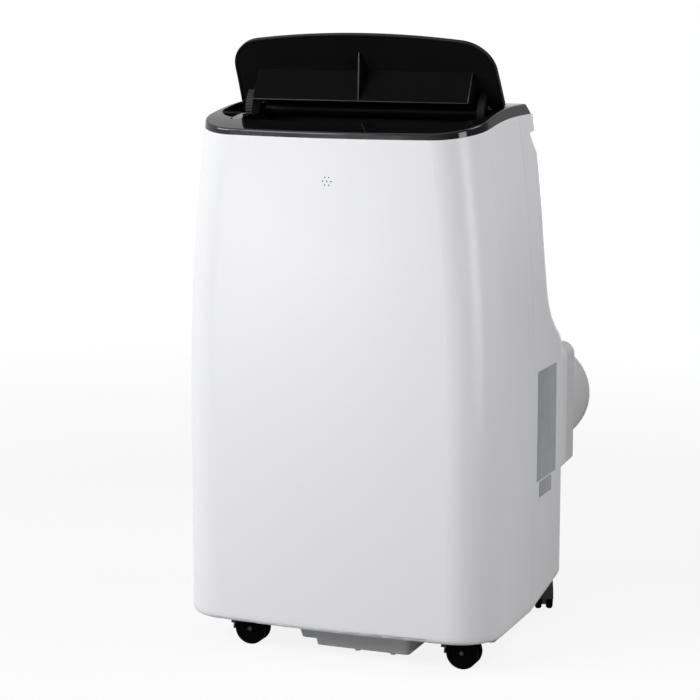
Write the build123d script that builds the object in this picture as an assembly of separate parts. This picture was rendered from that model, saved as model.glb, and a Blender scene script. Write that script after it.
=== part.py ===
from build123d import *
import os
from math import asin, atan2, cos, degrees, radians, sin, tan

os.makedirs("parts", exist_ok=True)

# Cabinet
body_width = 467.0
body_depth = 387.0
wall = 3.0
reach = 1000.0
form_margin = 32.5
front_bow_radius = 2300.0
front_corner_radius = 66.0
rear_corner_radius = 55.0
side_straight_top = 340.0
side_taper_radius = 3000.0
shoulder_step = 70.0
shoulder_top = 514.0
shoulder_angle = 51.0
shoulder_hollow_radius = 50.0
shoulder_round_radius = 75.0
seam_from_front = 202.0
seam_gap = 0.5
inner_gap = 0.4
sounder_hole_radius = 1.0
sounder_ring_radius = 6.0
sounder_ring_count = 6
sounder_drop = 95.5
sounder_radius = 9.0
sounder_depth = 6.0
sounder_gap = 0.2

# Base and sump
base_bottom = 41.5
base_band = 10.0
base_edge_radius = 7.0
rear_rise_angle = 9.3
sump_bottom = 11.0
sump_wall = 2.5
sump_taper = 14.0
sump_left_gap = 120.0
sump_right_gap = 47.0
sump_step_width = 23.0
sump_step_rise = 9.0
sump_front_inset = 32.0
sump_rear_inset = 33.0
sump_arm_side = 28.5
sump_arm_from_front = 131.0
sump_arm_width = 108.0
sump_corner_radius = 12.0
nub_radius = 4.0
nub_height = 2.5
nub_first_inset = 85.0
nub_second_inset = 32.0
nub_inset = 12.0

# Carrying grip under the rear lip
grip_drop = 40.5
grip_height = 54.0
grip_depth = 72.0
grip_throat = 3.0
grip_hollow = 10.0
lip_chamfer = 4.0
lip_fall_angle = 10.0
shelf_lap = 8.0
shelf_thickness = 4.0

# Top deck
deck_top = 767.5
deck_arc_radius = 714.0
deck_arc_from_front = 205.0
deck_rear_setback = 78.0
deck_rear_slope = 20.0
deck_band = 15.0
deck_edge_radius = 3.0
top_facing = 0.8
cut_arc_radius = 925.0
deck_skin = 3.5
deck_skirt_depth = 6.0
deck_skirt_from_front = 109.0
deck_cavity_side = 37.5
deck_cavity_from_front = 181.0
deck_cavity_margin = 2.0

# Tilting lid
lid_axis_from_front = 164.5
lid_axis_drop = 10.0
lid_open_angle = 67.0
lid_side = 36.0
lid_rear_gap = 10.7
lid_length = 113.0
lid_taper = 6.0
lid_bow_radius = 1125.0
lid_corner_radius = 50.0
lid_thickness = 9.0
lid_edge_radius = 2.2
lid_skin = 2.5
lid_skirt = 2.2
lid_gap = 1.2
lid_floor_gap = 0.6
liner_gap = 0.2
liner_depth = 6.0
liner_thickness = 2.0
barrel_radius = 8.8
barrel_end_gap = 3.5
barrel_gap = 0.5
barrel_web = 4.0
wedge_end_gap = 3.5
wedge_wall = 2.0
wedge_edge_radius = 52.5
wedge_edge_angle = 49.3
wedge_front_run = 55.0
wedge_rear_run = 3.0
fin_run = 87.0
fin_thickness = 2.5

# Lid gear train
gear_module = 1.25
gear_full_teeth = 56
pinion_teeth = 14
mesh_angle = 215.0
gear_face = 10.0
gear_side_gap = 5.0
gear_lower_angle = 225.0
gear_upper_angle = 128.0
gear_arm_angle = 103.0
gear_web = 4.0
gear_rim = 7.0
hub_radius = 6.0
pivot_radius = 3.0
pivot_clearance = 0.06
tooth_share = 0.40
tooth_flank = 20.0
tooth_clearance = 0.35
motor_radius = 14.0
motor_depth = 18.0
motor_gap = 2.5
motor_shaft_radius = 2.5
motor_post_offset = 17.5
motor_post_spread = 60.0
motor_post_radius = 3.5
motor_tab = 2.0
shaft_clearance = 0.05

# Outlet duct and vanes
duct_side = 34.0
duct_wall = 2.5
duct_front_inset = 45.0
duct_depth = 112.5
deck_slot_side = 12.5
deck_slot_from_front = 119.0
ear_radius = 8.0
ear_drop = 27.0
vane_count = 6
vane_pivot_rise = 13.0
vane_tip = 38.0
vane_heel = 8.0
vane_thickness = 2.0
vane_pin_radius = 2.0
vane_side_gap = 1.0
link_arm = 32.0
link_thickness = 3.5
link_height = 12.0
link_end = 12.0
link_pin_radius = 1.5
link_slot_play = 0.8
link_slot_rise = 4.0
link_gap = 3.0
vane_notch = 14.0

# Control panel
panel_half = 105.0
panel_depth = 46.0
panel_rear_margin = 8.0
panel_thickness = 1.5
panel_gap = 0.2
button_count = 5
button_pitch = 34.0
button_length = 20.0
button_width = 11.0
button_corner = 3.0
button_from_panel_front = 13.0
button_gap = 0.35
button_proud = 0.8
button_depth = 8.0
button_flange = 1.5
button_flange_gap = 0.15
display_length = 62.0
display_width = 18.0
display_from_panel_front = 32.0
display_recess = 0.5
board_side = 10.0
board_thickness = 1.6
board_depth = 13.0
board_front_inset = 4.0
board_rear_inset = 4.0
switch_size = 6.0
switch_gap = 1.0
post_radius = 3.0
post_inset = 5.0

# Upper blower
upper_center_x = -15.0
upper_rise = 115.0
upper_wheel_radius = 80.0
upper_wheel_width = 70.0
upper_scroll_start = 88.0
upper_scroll_end = 125.0
upper_tongue = 20.0
upper_outlet = 100.0
upper_scroll_from_front = 61.0
upper_scroll_width = 90.0
upper_inlet_radius = 62.0
scroll_wall = 2.0
scroll_points = 9
wheel_gap = 8.0

# Lower blower
lower_from_rear = 198.0
lower_rise = 162.5
lower_wheel_radius = 95.0
lower_wheel_width = 70.0
lower_scroll_start = 105.0
lower_scroll_end = 150.0
lower_tongue = 50.0
lower_scroll_width = 90.0
lower_inlet_radius = 72.0

# Blower wheels and motors
blade_count = 30
blade_thickness = 1.4
blade_chord = 20.0
blade_curve_radius = 16.0
blade_curve_offset = 12.0
blade_facing = 270.0
disc_thickness = 2.0
ring_height = 3.0
fan_hub_radius = 12.0
fan_hub_length = 26.0
fan_shaft_radius = 4.0
fan_shaft_hole = 10.0
fan_motor_radius = 36.0
fan_motor_boss = 18.0
upper_motor_depth = 46.0
lower_motor_depth = 35.0
motor_cap = 8.0

# Cooling circuit
partition_bottom = 396.0
partition_thickness = 6.0
trough_wall = 2.0
trough_height = 12.0
trough_margin = 6.0
evaporator_side = 48.5
evaporator_from_rear = 70.0
evaporator_depth = 36.0
evaporator_height = 245.0
condenser_side = 28.5
condenser_fan_gap = 63.0
condenser_from_rear = 50.0
condenser_depth = 34.0
condenser_rise = 6.0
condenser_height = 300.0
coil_plate = 2.0
coil_plate_lip = 3.0
coil_fin_pitch = 12.0
coil_fin_depth = 1.5
bend_count = 5
bend_radius = 12.0
bend_tube_radius = 4.0
bend_first = 50.0
coil_foot_width = 10.0
coil_foot_left_inset = 105.0
coil_foot_right_inset = 15.0
compressor_side = 121.5
compressor_from_front = 149.0
compressor_radius = 55.0
compressor_height = 230.0
compressor_dome = 26.0
compressor_lift = 21.5
foot_plate = 4.0
foot_circle = 62.0
foot_count = 3
foot_pad_radius = 9.0
foot_tab_radius = 14.0
accumulator_radius = 22.0
accumulator_dome = 11.0
accumulator_height = 160.0
accumulator_offset = 80.0
accumulator_rise = 65.5
accumulator_strap = 12.0
suction_pipe_radius = 5.0
suction_over = 44.0
suction_side = 33.5
suction_over_floor = 26.0
suction_end_inset = 18.0
discharge_pipe_radius = 4.0
discharge_over = 22.0
pipe_bend = 11.0
pipe_hole_gap = 1.5
electrical_half_height = 94.0
electrical_width = 58.0
electrical_side = 25.5
electrical_from_front = 69.0
electrical_depth = 120.0
electrical_round = 6.0
electrical_rib_count = 5
electrical_rib = 2.0
electrical_rib_depth = 3.0

# Rear openings
intake_side = 61.5
intake_rise = 14.0
intake_height = 138.0
intake_rows = 11
intake_columns = 3
slot_height = 7.0
grille_border = 8.0
grille_bar = 6.0
grille_gap = 0.4
intake_flange = 13.0
mesh_inset = 10.0
mesh_thickness = 1.2
mesh_columns = 10
mesh_rows = 5
mesh_bar = 2.0
condenser_grille_side = 61.5
condenser_grille_gap = 25.0
condenser_grille_rise = 22.0
condenser_grille_height = 272.0
condenser_grille_rows = 20
condenser_grille_columns = 2
condenser_slot_height = 7.0

# Exhaust adapter
adapter_side = 85.5
adapter_rise = 99.0
adapter_width = 158.0
adapter_height = 193.0
adapter_depth = 41.0
adapter_wall = 3.0
adapter_top_radius = 19.0
adapter_bottom_chamfer = 17.0
adapter_edge_radius = 4.0
collar_radius = 77.5
collar_wall = 3.0
collar_length = 90.0
collar_bead = 1.2
collar_bead_width = 3.0
collar_bead_inset = 12.0

# Small rear fittings
drain_side = 103.5
drain_upper_rise = 68.0
drain_lower_rise = 15.0
drain_bore_radius = 8.06
drain_boss_wall = 2.5
drain_boss_length = 14.0
plug_radius = 8.0
plug_length = 16.0
plug_head_radius = 11.0
plug_head = 4.0
plug_head_gap = 0.3
gland_side = 153.5
gland_rise = 16.0
gland_bore_radius = 4.0
gland_barrel_radius = 7.5
gland_flange_radius = 12.0
gland_flange = 3.0
gland_length = 16.0
screw_head_radius = 4.0
screw_head = 2.0
screw_shank_radius = 2.0
screw_length = 10.0
screw_side = 73.5
screw_side_rise = 10.0
screw_mid_gap = 12.0
screw_low_rise = 8.5
screw_high_rise = 288.0

# Casters
caster_front_side = 73.5
caster_rear_side = 24.5
caster_front_inset = 50.0
caster_rear_inset = 37.0
well_radius = 41.0
well_top = 49.5
well_roof = 3.5
socket_radius = 9.0
socket_length = 20.0
stem_radius = 5.0
stem_length = 18.0
stem_collar_radius = 9.0
stem_collar_gap = 0.3
stem_collar_bottom = 42.0
wheel_radius = 23.0
wheel_width = 8.5
wheel_offset = 4.0
wheel_edge = 1.6
wheel_recess = 1.5
wheel_rim = 5.0
wheel_boss_radius = 6.0
caster_trail = 24.0
axle_radius = 3.0
axle_clearance = 0.06
fork_half = 3.5
fork_hub_radius = 17.0
fork_top = 45.0
fork_bottom = 26.0
hood_gap = 0.6
hood_thickness = 2.0
hood_start = 55.0
hood_end = 185.0
front_left_heading = 0.0
front_right_heading = 0.0
rear_left_heading = 20.0
rear_right_heading = 112.0

# Places that follow from the sizes above
half_width = body_width / 2
overall_depth = body_depth + adapter_depth + collar_length
front_y = -overall_depth / 2
rear_y = front_y + body_depth
upper_rear_y = rear_y - shoulder_step
seam_y = front_y + seam_from_front
base_top = base_bottom + base_band
tray_floor = base_bottom + wall
rear_climb = (rear_y - seam_y) * tan(radians(rear_rise_angle))
rear_edge = base_top + rear_climb
form_height = deck_top + form_margin
cut_height = deck_top - deck_band
grip_top = deck_top - grip_drop
sounder_height = deck_top - sounder_drop
caster_x_front = half_width - caster_front_side
caster_x_rear = half_width - caster_rear_side
sump_left = sump_left_gap - caster_x_front
sump_right = caster_x_front - sump_right_gap
sump_arm_half = half_width - sump_arm_side
sump_arm_front = front_y + sump_arm_from_front
sump_arm_rear = sump_arm_front + sump_arm_width
deck_arc_y = front_y + deck_arc_from_front
deck_rear_top_y = upper_rear_y - deck_rear_setback
deck_rear_foot_y = deck_rear_top_y + deck_rear_slope
deck_cavity_half = half_width - deck_cavity_side
deck_cavity_front = front_y + deck_cavity_from_front
lid_half_width = half_width - lid_side
lid_axis_height = deck_top - lid_axis_drop
lid_axis_y = front_y + lid_axis_from_front
lid_rear_y = lid_axis_y - lid_rear_gap
lid_front_y = lid_rear_y - lid_length
opening_rear_y = lid_axis_y + barrel_radius + barrel_gap
duct_half = lid_half_width - duct_side
duct_front_y = front_y + duct_front_inset
duct_floor = deck_top - duct_depth
deck_slot_half = lid_half_width - deck_slot_side
deck_slot_front = front_y + deck_slot_from_front
vane_pivot_height = duct_floor + vane_pivot_rise
barrel_half = duct_half - barrel_end_gap
wedge_half = duct_half - wedge_end_gap
gear_inner_x = duct_half + gear_side_gap
gear_outer_x = gear_inner_x + gear_face
gear_pitch_radius = gear_module * gear_full_teeth / 2
pinion_pitch_radius = gear_module * pinion_teeth / 2
mesh_distance = gear_pitch_radius + pinion_pitch_radius
pinion_y = lid_axis_y + mesh_distance * cos(radians(mesh_angle))
pinion_z = lid_axis_height + mesh_distance * sin(radians(mesh_angle))
motor_face_x = gear_outer_x + motor_gap
panel_rear = deck_rear_top_y - panel_rear_margin
panel_front = panel_rear - panel_depth
button_y = panel_front + button_from_panel_front
display_y = panel_front + display_from_panel_front
board_half = panel_half - board_side
board_front = panel_front + board_front_inset
board_rear = panel_rear - board_rear_inset
partition_top = partition_bottom + partition_thickness
upper_center_z = partition_top + upper_rise
upper_scroll_front = front_y + upper_scroll_from_front
upper_scroll_rear = upper_scroll_front + upper_scroll_width
lower_center_y = rear_y - lower_from_rear
lower_center_z = tray_floor + lower_rise
adapter_x = half_width - adapter_side
adapter_z = lower_center_z + adapter_rise
adapter_left = adapter_x - adapter_width / 2
evaporator_half = half_width - evaporator_side
evaporator_front = upper_rear_y - evaporator_from_rear
condenser_left = condenser_side - half_width
condenser_right = adapter_x - lower_scroll_width / 2 - condenser_fan_gap
condenser_front = rear_y - condenser_from_rear
condenser_bottom = tray_floor + rear_climb + condenser_rise
condenser_top = condenser_bottom + condenser_height
coil_foot_left = condenser_left + coil_foot_left_inset
coil_foot_right = condenser_right - coil_foot_right_inset
compressor_x = compressor_side - half_width
compressor_y = front_y + compressor_from_front
compressor_top = tray_floor + compressor_lift + compressor_height
accumulator_lift = tray_floor + accumulator_rise
suction_x = suction_side - half_width
suction_rise = compressor_top + suction_over
suction_top = partition_top + suction_over_floor
suction_end_y = evaporator_front + suction_end_inset
discharge_rise = compressor_top + discharge_over
electrical_right = half_width - electrical_side
electrical_left = electrical_right - electrical_width
electrical_front = front_y + electrical_from_front
electrical_rear = electrical_front + electrical_depth
intake_half = half_width - intake_side
intake_bottom = shoulder_top + intake_rise
intake_top = intake_bottom + intake_height
condenser_grille_left = condenser_grille_side - half_width
condenser_grille_right = adapter_left - condenser_grille_gap
condenser_grille_bottom = rear_edge + condenser_grille_rise
condenser_grille_top = condenser_grille_bottom + condenser_grille_height
drain_x = half_width - drain_side
drain_upper_z = rear_edge + drain_upper_rise
drain_lower_z = rear_edge + drain_lower_rise
gland_x = half_width - gland_side
gland_z = rear_edge + gland_rise
screw_side_x = half_width - screw_side
screw_side_z = rear_edge + screw_side_rise
screw_mid_x = adapter_left - screw_mid_gap
screw_mid_low = rear_edge + screw_low_rise
screw_mid_high = rear_edge + screw_high_rise


def block(x0, x1, y0, y1, z0, z1):
    """Box between two opposite corners."""
    middle = Pos((x0 + x1) / 2, (y0 + y1) / 2, (z0 + z1) / 2)
    return middle * Box(x1 - x0, y1 - y0, z1 - z0)


def rod_x(radius, x0, x1, y, z):
    """Round bar along X."""
    return Pos((x0 + x1) / 2, y, z) * Rot(0, 90, 0) * Cylinder(radius, x1 - x0)


def rod_y(radius, y0, y1, x, z):
    """Round bar along Y."""
    return Pos(x, (y0 + y1) / 2, z) * Rot(90, 0, 0) * Cylinder(radius, y1 - y0)


def rod_z(radius, z0, z1, x, y):
    """Round bar along Z."""
    return Pos(x, y, (z0 + z1) / 2) * Cylinder(radius, z1 - z0)


def polar(center, radius, angle):
    """Point at an angle in degrees about a center."""
    return (center[0] + radius * cos(radians(angle)), center[1] + radius * sin(radians(angle)))


def arc(center, radius, start, end):
    """Arc about a center between two angles in degrees."""
    middle = (start + end) / 2
    return ThreePointArc(
        polar(center, radius, start), polar(center, radius, middle), polar(center, radius, end)
    )


def face_of(*points):
    """Flat face with straight edges."""
    return make_face(Polyline(*points, close=True))


def prism_x(face, x0, x1):
    """Solid along X from a face drawn as (y, z)."""
    return Pos(x0, 0, 0) * extrude(Plane.YZ * face, x1 - x0)


def prism_y(face, y0, y1):
    """Solid along Y from a face drawn as (x, z)."""
    return Pos(0, y1, 0) * extrude(Plane.XZ * face, y1 - y0)


def front_outline(inset):
    """Front view: upright sides that lean in along a long arc."""
    half = half_width - inset
    radius = side_taper_radius - inset
    center_x = half_width - side_taper_radius
    lean = degrees(asin((form_height - side_straight_top) / radius))
    right_arc = arc((center_x, side_straight_top), radius, 0, lean)
    left_arc = arc((-center_x, side_straight_top), radius, 180 - lean, 180)
    edges = [
        Line((-half, 0), (half, 0)),
        Line((half, 0), (half, side_straight_top)),
        right_arc,
        Line(right_arc @ 1, left_arc @ 0),
        left_arc,
        Line((-half, side_straight_top), (-half, 0)),
    ]
    return make_face(Curve() + edges)


def side_outline(inset):
    """Side view: flat lower back, rounded shoulder and set-in upper back."""
    round_share = 1 - cos(radians(shoulder_angle))
    both_radii = shoulder_hollow_radius + shoulder_round_radius
    slope_run = shoulder_step - round_share * both_radii
    slope_rise = slope_run / tan(radians(shoulder_angle))
    shoulder_foot = shoulder_top - both_radii * sin(radians(shoulder_angle)) - slope_rise
    ahead = -reach
    round_arc = arc(
        (rear_y - shoulder_round_radius, shoulder_foot), shoulder_round_radius - inset, 0, shoulder_angle
    )
    hollow_arc = arc(
        (upper_rear_y + shoulder_hollow_radius, shoulder_top),
        shoulder_hollow_radius + inset,
        180 + shoulder_angle,
        180,
    )
    edges = [
        Line((ahead, 0), (rear_y - inset, 0)),
        Line((rear_y - inset, 0), round_arc @ 0),
        round_arc,
        Line(round_arc @ 1, hollow_arc @ 0),
        hollow_arc,
        Line(hollow_arc @ 1, (upper_rear_y - inset, form_height)),
        Line((upper_rear_y - inset, form_height), (ahead, form_height)),
        Line((ahead, form_height), (ahead, 0)),
    ]
    return make_face(Curve() + edges)


def upright_edges(solid):
    """Edges that climb, without the level ones."""
    return [edge for edge in solid.edges() if edge.bounding_box().size.Z > wall]


def body_form(inset):
    """Moulded outer form, drawn in by an inset on every side."""
    form = prism_y(front_outline(inset), -reach, reach)
    form = form & prism_x(side_outline(inset), -reach, reach)
    bow = Pos(0, front_y + front_bow_radius, form_height / 2)
    form = form & bow * Cylinder(front_bow_radius - inset, form_height)
    front_edges = [edge for edge in upright_edges(form) if edge.center().Y < seam_y]
    form = fillet(front_edges, front_corner_radius - inset)
    rear_edges = [edge for edge in upright_edges(form) if edge.center().Y > seam_y]
    return fillet(rear_edges, rear_corner_radius - inset)


def below_curve(height, radius):
    """All space under a top line that is level at the rear and falls along an arc to the front."""
    ahead = front_y - wall
    fall = degrees(asin((deck_arc_y - ahead) / radius))
    top_arc = arc((deck_arc_y, height - radius), radius, 90 + fall, 90)
    edges = [
        top_arc,
        Line(top_arc @ 1, (reach, height)),
        Line((reach, height), (reach, 0)),
        Line((reach, 0), (ahead, 0)),
        Line((ahead, 0), top_arc @ 0),
    ]
    return prism_x(make_face(Curve() + edges), -reach, reach)


def base_line(y):
    """Height of the casing's lower edge, which climbs behind the seam."""
    return base_bottom + max(0, y - seam_y) * tan(radians(rear_rise_angle))


def below_base(lift):
    """All space under the base line, raised by a lift."""
    outline = face_of(
        (-reach, -reach),
        (reach, -reach),
        (reach, base_line(reach) + lift),
        (seam_y, base_bottom + lift),
        (-reach, base_bottom + lift),
    )
    return prism_x(outline, -reach, reach)


def over_lip(drop):
    """All space above the rear lip, which falls behind the deck, lowered by a drop."""
    low = cut_height - drop
    fall = (reach - deck_rear_foot_y) * tan(radians(lip_fall_angle))
    outline = face_of(
        (deck_rear_foot_y, form_height),
        (deck_rear_foot_y, low),
        (reach, low - fall),
        (reach, form_height),
    )
    return prism_x(outline, -reach, reach)


def grip_notch(grow):
    """Finger space under the rear lip, along the whole width."""
    behind = upper_rear_y + grip_depth
    start = (upper_rear_y, grip_top - grip_height - grow)
    throat = (upper_rear_y - grip_depth - grow, grip_top - grip_throat - grow)
    roof = (upper_rear_y - grip_depth - grow, grip_top + grow)
    lip = (upper_rear_y + lip_chamfer, grip_top + lip_chamfer + grow)
    edges = [
        SagittaArc(start, throat, grip_hollow),
        Line(throat, roof),
        Line(roof, lip),
        Line(lip, (behind, lip[1])),
        Line((behind, lip[1]), (behind, start[1])),
        Line((behind, start[1]), start),
    ]
    return prism_x(make_face(Curve() + edges), -reach, reach)


def rounded_top(solid, radius):
    """Solid with the outer edge of its top rounded."""
    tops = [face for face in solid.faces() if face.normal_at().Z > top_facing]
    rims = [edge for face in tops for edge in face.edges()]
    outer = [edge for edge in rims if sum(edge.is_same(other) for other in rims) == 1]
    return fillet(outer, radius)


outer_form = body_form(0)
inner_form = body_form(wall)
fitted_form = body_form(wall + inner_gap)
below_cut = below_curve(cut_height, cut_arc_radius)
below_top = below_curve(deck_top, deck_arc_radius)
below_pocket = below_curve(deck_top - lid_thickness - lid_floor_gap, deck_arc_radius)


def front_shell():
    """Front and side casing with the sounder holes."""
    shell = (outer_form - inner_form) & below_cut
    shell = shell & block(-reach, reach, -reach, seam_y - seam_gap / 2, base_top, form_height)
    hole = rod_y(sounder_hole_radius, front_y - wall, front_y + wall * 2, 0, sounder_height)
    holes = [hole]
    for index in range(sounder_ring_count):
        shift = polar((0, 0), sounder_ring_radius, index * 360 / sounder_ring_count)
        holes.append(Pos(shift[0], 0, shift[1]) * hole)
    return shell - holes


def rear_shell():
    """Rear casing with shoulder, carrying grip, windows and bores."""
    shelf_y = deck_rear_foot_y - shelf_lap
    shelf = block(-reach, reach, shelf_y, reach, cut_height - shelf_thickness, form_height)
    shelf += over_lip(shelf_thickness)
    boss_root = rear_y - rear_corner_radius
    exhaust_boss = prism_y(adapter_face(0), boss_root, rear_y)
    exhaust_hollow = prism_y(adapter_face(wall), boss_root, rear_y - wall)
    cavity = (inner_form - grip_notch(wall) - shelf) + exhaust_hollow
    shell = (outer_form - grip_notch(0)) + exhaust_boss - cavity
    shell = (shell & below_cut) - over_lip(0) - below_base(base_band)
    shell = shell & block(-reach, reach, seam_y + seam_gap / 2, reach, base_top, form_height)
    shell -= block(-intake_half, intake_half, upper_rear_y - wall * 2, reach, intake_bottom, intake_top)
    shell -= block(
        condenser_grille_left,
        condenser_grille_right,
        rear_y - wall * 2,
        reach,
        condenser_grille_bottom,
        condenser_grille_top,
    )
    half_duct = lower_scroll_width / 2 - scroll_wall
    shell -= block(
        adapter_x - half_duct,
        adapter_x + half_duct,
        rear_y - wall * 2,
        reach,
        lower_center_z + lower_tongue + scroll_wall,
        lower_center_z + lower_scroll_end - scroll_wall,
    )
    for height in (drain_upper_z, drain_lower_z):
        boss_radius = drain_bore_radius + drain_boss_wall
        shell += rod_y(boss_radius, rear_y - drain_boss_length, rear_y - wall / 2, drain_x, height)
        shell -= rod_y(drain_bore_radius, rear_y - drain_boss_length - wall, reach, drain_x, height)
    shell -= rod_y(gland_barrel_radius, rear_y - gland_length, reach, gland_x, gland_z)
    for place in screw_places():
        shell -= rod_y(screw_shank_radius, rear_y - wall * 2, reach, *place)
    return shell


def screw_places():
    """Rear screw centers as (x, z)."""
    return [
        (-screw_side_x, screw_side_z),
        (screw_side_x, screw_side_z),
        (screw_mid_x, screw_mid_low),
        (screw_mid_x, screw_mid_high),
    ]


def shell_screws():
    """Screw heads and shanks that hold the rear casing."""
    screws = []
    for place in screw_places():
        head = rod_y(screw_head_radius, rear_y, rear_y + screw_head, *place)
        screws.append(head + rod_y(screw_shank_radius, rear_y + screw_head - screw_length, rear_y, *place))
    return Compound(screws)


def caster_places():
    """Caster stem centers and resting headings, keyed by corner."""
    front = front_y + caster_front_inset
    rear = rear_y - caster_rear_inset
    return {
        "front_left": (-caster_x_front, front, front_left_heading),
        "front_right": (caster_x_front, front, front_right_heading),
        "rear_left": (-caster_x_rear, rear, rear_left_heading),
        "rear_right": (caster_x_rear, rear, rear_right_heading),
    }


def base_tray():
    """Floor pan with its outer band, front caster wells and stem sockets."""
    band = (outer_form & below_base(base_band)) - below_base(0)
    lower_edges = []
    for edge in band.edges():
        middle = edge.center()
        if middle.Z - base_line(middle.Y) < base_band / 4 and abs(middle.Y - seam_y) > seam_gap:
            lower_edges.append(edge)
    band = fillet(lower_edges, base_edge_radius)
    tray = band - (inner_form - below_base(wall))
    boss_radius = well_radius + wall
    for x, y, heading in caster_places().values():
        tray += rod_z(socket_radius, well_top, well_top + well_roof + socket_length, x, y)
        if y < seam_y:
            tray += band & rod_z(boss_radius, base_bottom, base_top, x, y)
            tray += fitted_form & rod_z(boss_radius, base_top - wall, well_top + well_roof, x, y)
            tray -= rod_z(well_radius, base_bottom - wall, well_top, x, y)
        tray -= rod_z(stem_radius + pivot_clearance, well_top - wall, well_top + socket_length, x, y)
    return tray


def sump_box(left, right, front, rear, bottom, inset):
    """Tapered trough section with rounded corners, drawn up past the climbing floor."""
    width = right - left - 2 * inset
    depth = rear - front - 2 * inset
    middle = ((left + right) / 2, (front + rear) / 2)
    radius = sump_corner_radius - inset
    wide = Pos(*middle, base_bottom) * RectangleRounded(width, depth, radius)
    foot = RectangleRounded(width - sump_taper, depth - sump_taper, radius / 2)
    narrow = Pos(*middle, bottom + inset) * foot
    return loft([narrow, wide]) + extrude(wide, rear_climb)


def base_sump():
    """Grey water sump under the tray, in the shape of a cross."""
    front = front_y + sump_front_inset
    rear = rear_y - sump_rear_inset
    step_left = sump_left - sump_step_width
    step_right = sump_left + sump_step_width
    step_bottom = sump_bottom + sump_step_rise
    sections = [
        (sump_left, sump_right, front, rear, sump_bottom),
        (step_left, step_right, front, rear, step_bottom),
        (-sump_arm_half, sump_arm_half, sump_arm_front, sump_arm_rear, sump_bottom),
    ]
    sump = sump_box(*sections[0], 0)
    for section in sections[1:]:
        sump += sump_box(*section, 0)
    for section in sections:
        sump -= sump_box(*section, sump_wall)
    sump = sump & below_base(0)
    for x in (sump_right - nub_first_inset, sump_right - nub_second_inset):
        sump += rod_z(nub_radius, sump_bottom - nub_height, sump_bottom, x, front + nub_inset)
    return sump


def lid_plan(grow, rear):
    """Lid outline from above, with bowed front edge and round front corners."""
    half = lid_half_width + grow
    front = lid_front_y - grow
    tapered = half - lid_taper
    sheet = face_of(
        (-half, reach),
        (-half, lid_rear_y),
        (-tapered, lid_front_y),
        (-tapered, -reach),
        (tapered, -reach),
        (tapered, lid_front_y),
        (half, lid_rear_y),
        (half, reach),
    )
    sheet = sheet & Pos(0, (front + rear) / 2) * Rectangle(2 * half, rear - front)
    sheet = sheet & Pos(0, front + lid_bow_radius) * Circle(lid_bow_radius)
    corners = sheet.vertices().sort_by(Axis.Y)[:2]
    return fillet(corners, lid_corner_radius + grow)


def lid_column(grow, rear):
    """Lid outline as a tall column through the deck."""
    return Pos(0, 0, base_bottom) * extrude(lid_plan(grow, rear), form_height)


def top_deck():
    """Black deck with lid pocket, air opening and control recess."""
    deck = rounded_top(outer_form & below_top, deck_edge_radius) - below_cut
    deck -= prism_x(
        face_of(
            (deck_rear_top_y, deck_top),
            (deck_rear_foot_y, cut_height),
            (reach, cut_height),
            (reach, form_height),
            (deck_rear_top_y, form_height),
        ),
        -reach,
        reach,
    )
    skirt = (fitted_form & below_cut) - below_curve(cut_height - deck_skirt_depth, cut_arc_radius)
    skirt_rear = front_y + deck_skirt_from_front
    deck += skirt & block(-reach, reach, -reach, skirt_rear, base_top, form_height)
    deck -= lid_column(lid_gap, opening_rear_y) - below_pocket
    deck -= block(-duct_half, duct_half, duct_front_y, opening_rear_y, base_top, form_height)
    deck -= block(-deck_slot_half, deck_slot_half, deck_slot_front, opening_rear_y, base_top, form_height)
    cavity_rear = deck_rear_top_y - deck_cavity_margin
    cavity_top = deck_top - deck_skin
    deck -= block(-deck_cavity_half, deck_cavity_half, deck_cavity_front, cavity_rear, base_top, cavity_top)
    deck -= block(-panel_half, panel_half, panel_front, panel_rear, deck_top - panel_thickness, form_height)
    for x in button_centers():
        deck -= button_prism(x, button_gap, deck_top - button_depth, form_height)
    return deck


def button_centers():
    """Places of the buttons along the panel."""
    first = -button_pitch * (button_count - 1) / 2
    return [first + index * button_pitch for index in range(button_count)]


def button_prism(x, grow, z0, z1):
    """Rounded button outline between two heights."""
    outline = RectangleRounded(button_length + 2 * grow, button_width + 2 * grow, button_corner + grow)
    return Pos(x, button_y, z0) * extrude(outline, z1 - z0)


def control_panel():
    """Gloss panel plate with a display recess and button holes."""
    z0 = deck_top - panel_thickness
    side = panel_half - panel_gap
    panel = block(-side, side, panel_front + panel_gap, panel_rear - panel_gap, z0, deck_top)
    half = display_length / 2
    low = display_y - display_width / 2
    panel -= block(-half, half, low, low + display_width, deck_top - display_recess, form_height)
    for x in button_centers():
        panel -= button_prism(x, button_gap, z0 - wall, form_height)
    return panel


def push_button(x):
    """Button cap with a flange that stops it under the deck skin."""
    cap = button_prism(x, 0, deck_top - button_depth, deck_top + button_proud)
    flange_top = deck_top - deck_skin - button_flange_gap
    return cap + button_prism(x, button_flange, flange_top - button_flange, flange_top)


def control_board():
    """Circuit board with one switch under each button and corner posts."""
    z0 = deck_top - board_depth
    z1 = z0 + board_thickness
    board = block(-board_half, board_half, board_front, board_rear, z0, z1)
    half = switch_size / 2
    switch_top = deck_top - button_depth - switch_gap
    for x in button_centers():
        board += block(x - half, x + half, button_y - half, button_y + half, z1, switch_top)
    for x in (-board_half + post_inset, board_half - post_inset):
        for y in (board_front + post_inset, board_rear - post_inset):
            board += rod_z(post_radius, z1, deck_top - deck_skin, x, y)
    return board


def opened(solid):
    """Lid piece swung from shut to the resting open pose."""
    return solid.rotate(Axis((0, lid_axis_y, lid_axis_height), (1, 0, 0)), -lid_open_angle)


def lid_liner_height(y):
    """Height of the liner underside on the shut lid."""
    fall = asin((deck_arc_y - y) / deck_arc_radius)
    drop = deck_arc_radius * (1 - cos(fall))
    return deck_top - drop - liner_depth - liner_thickness


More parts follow.
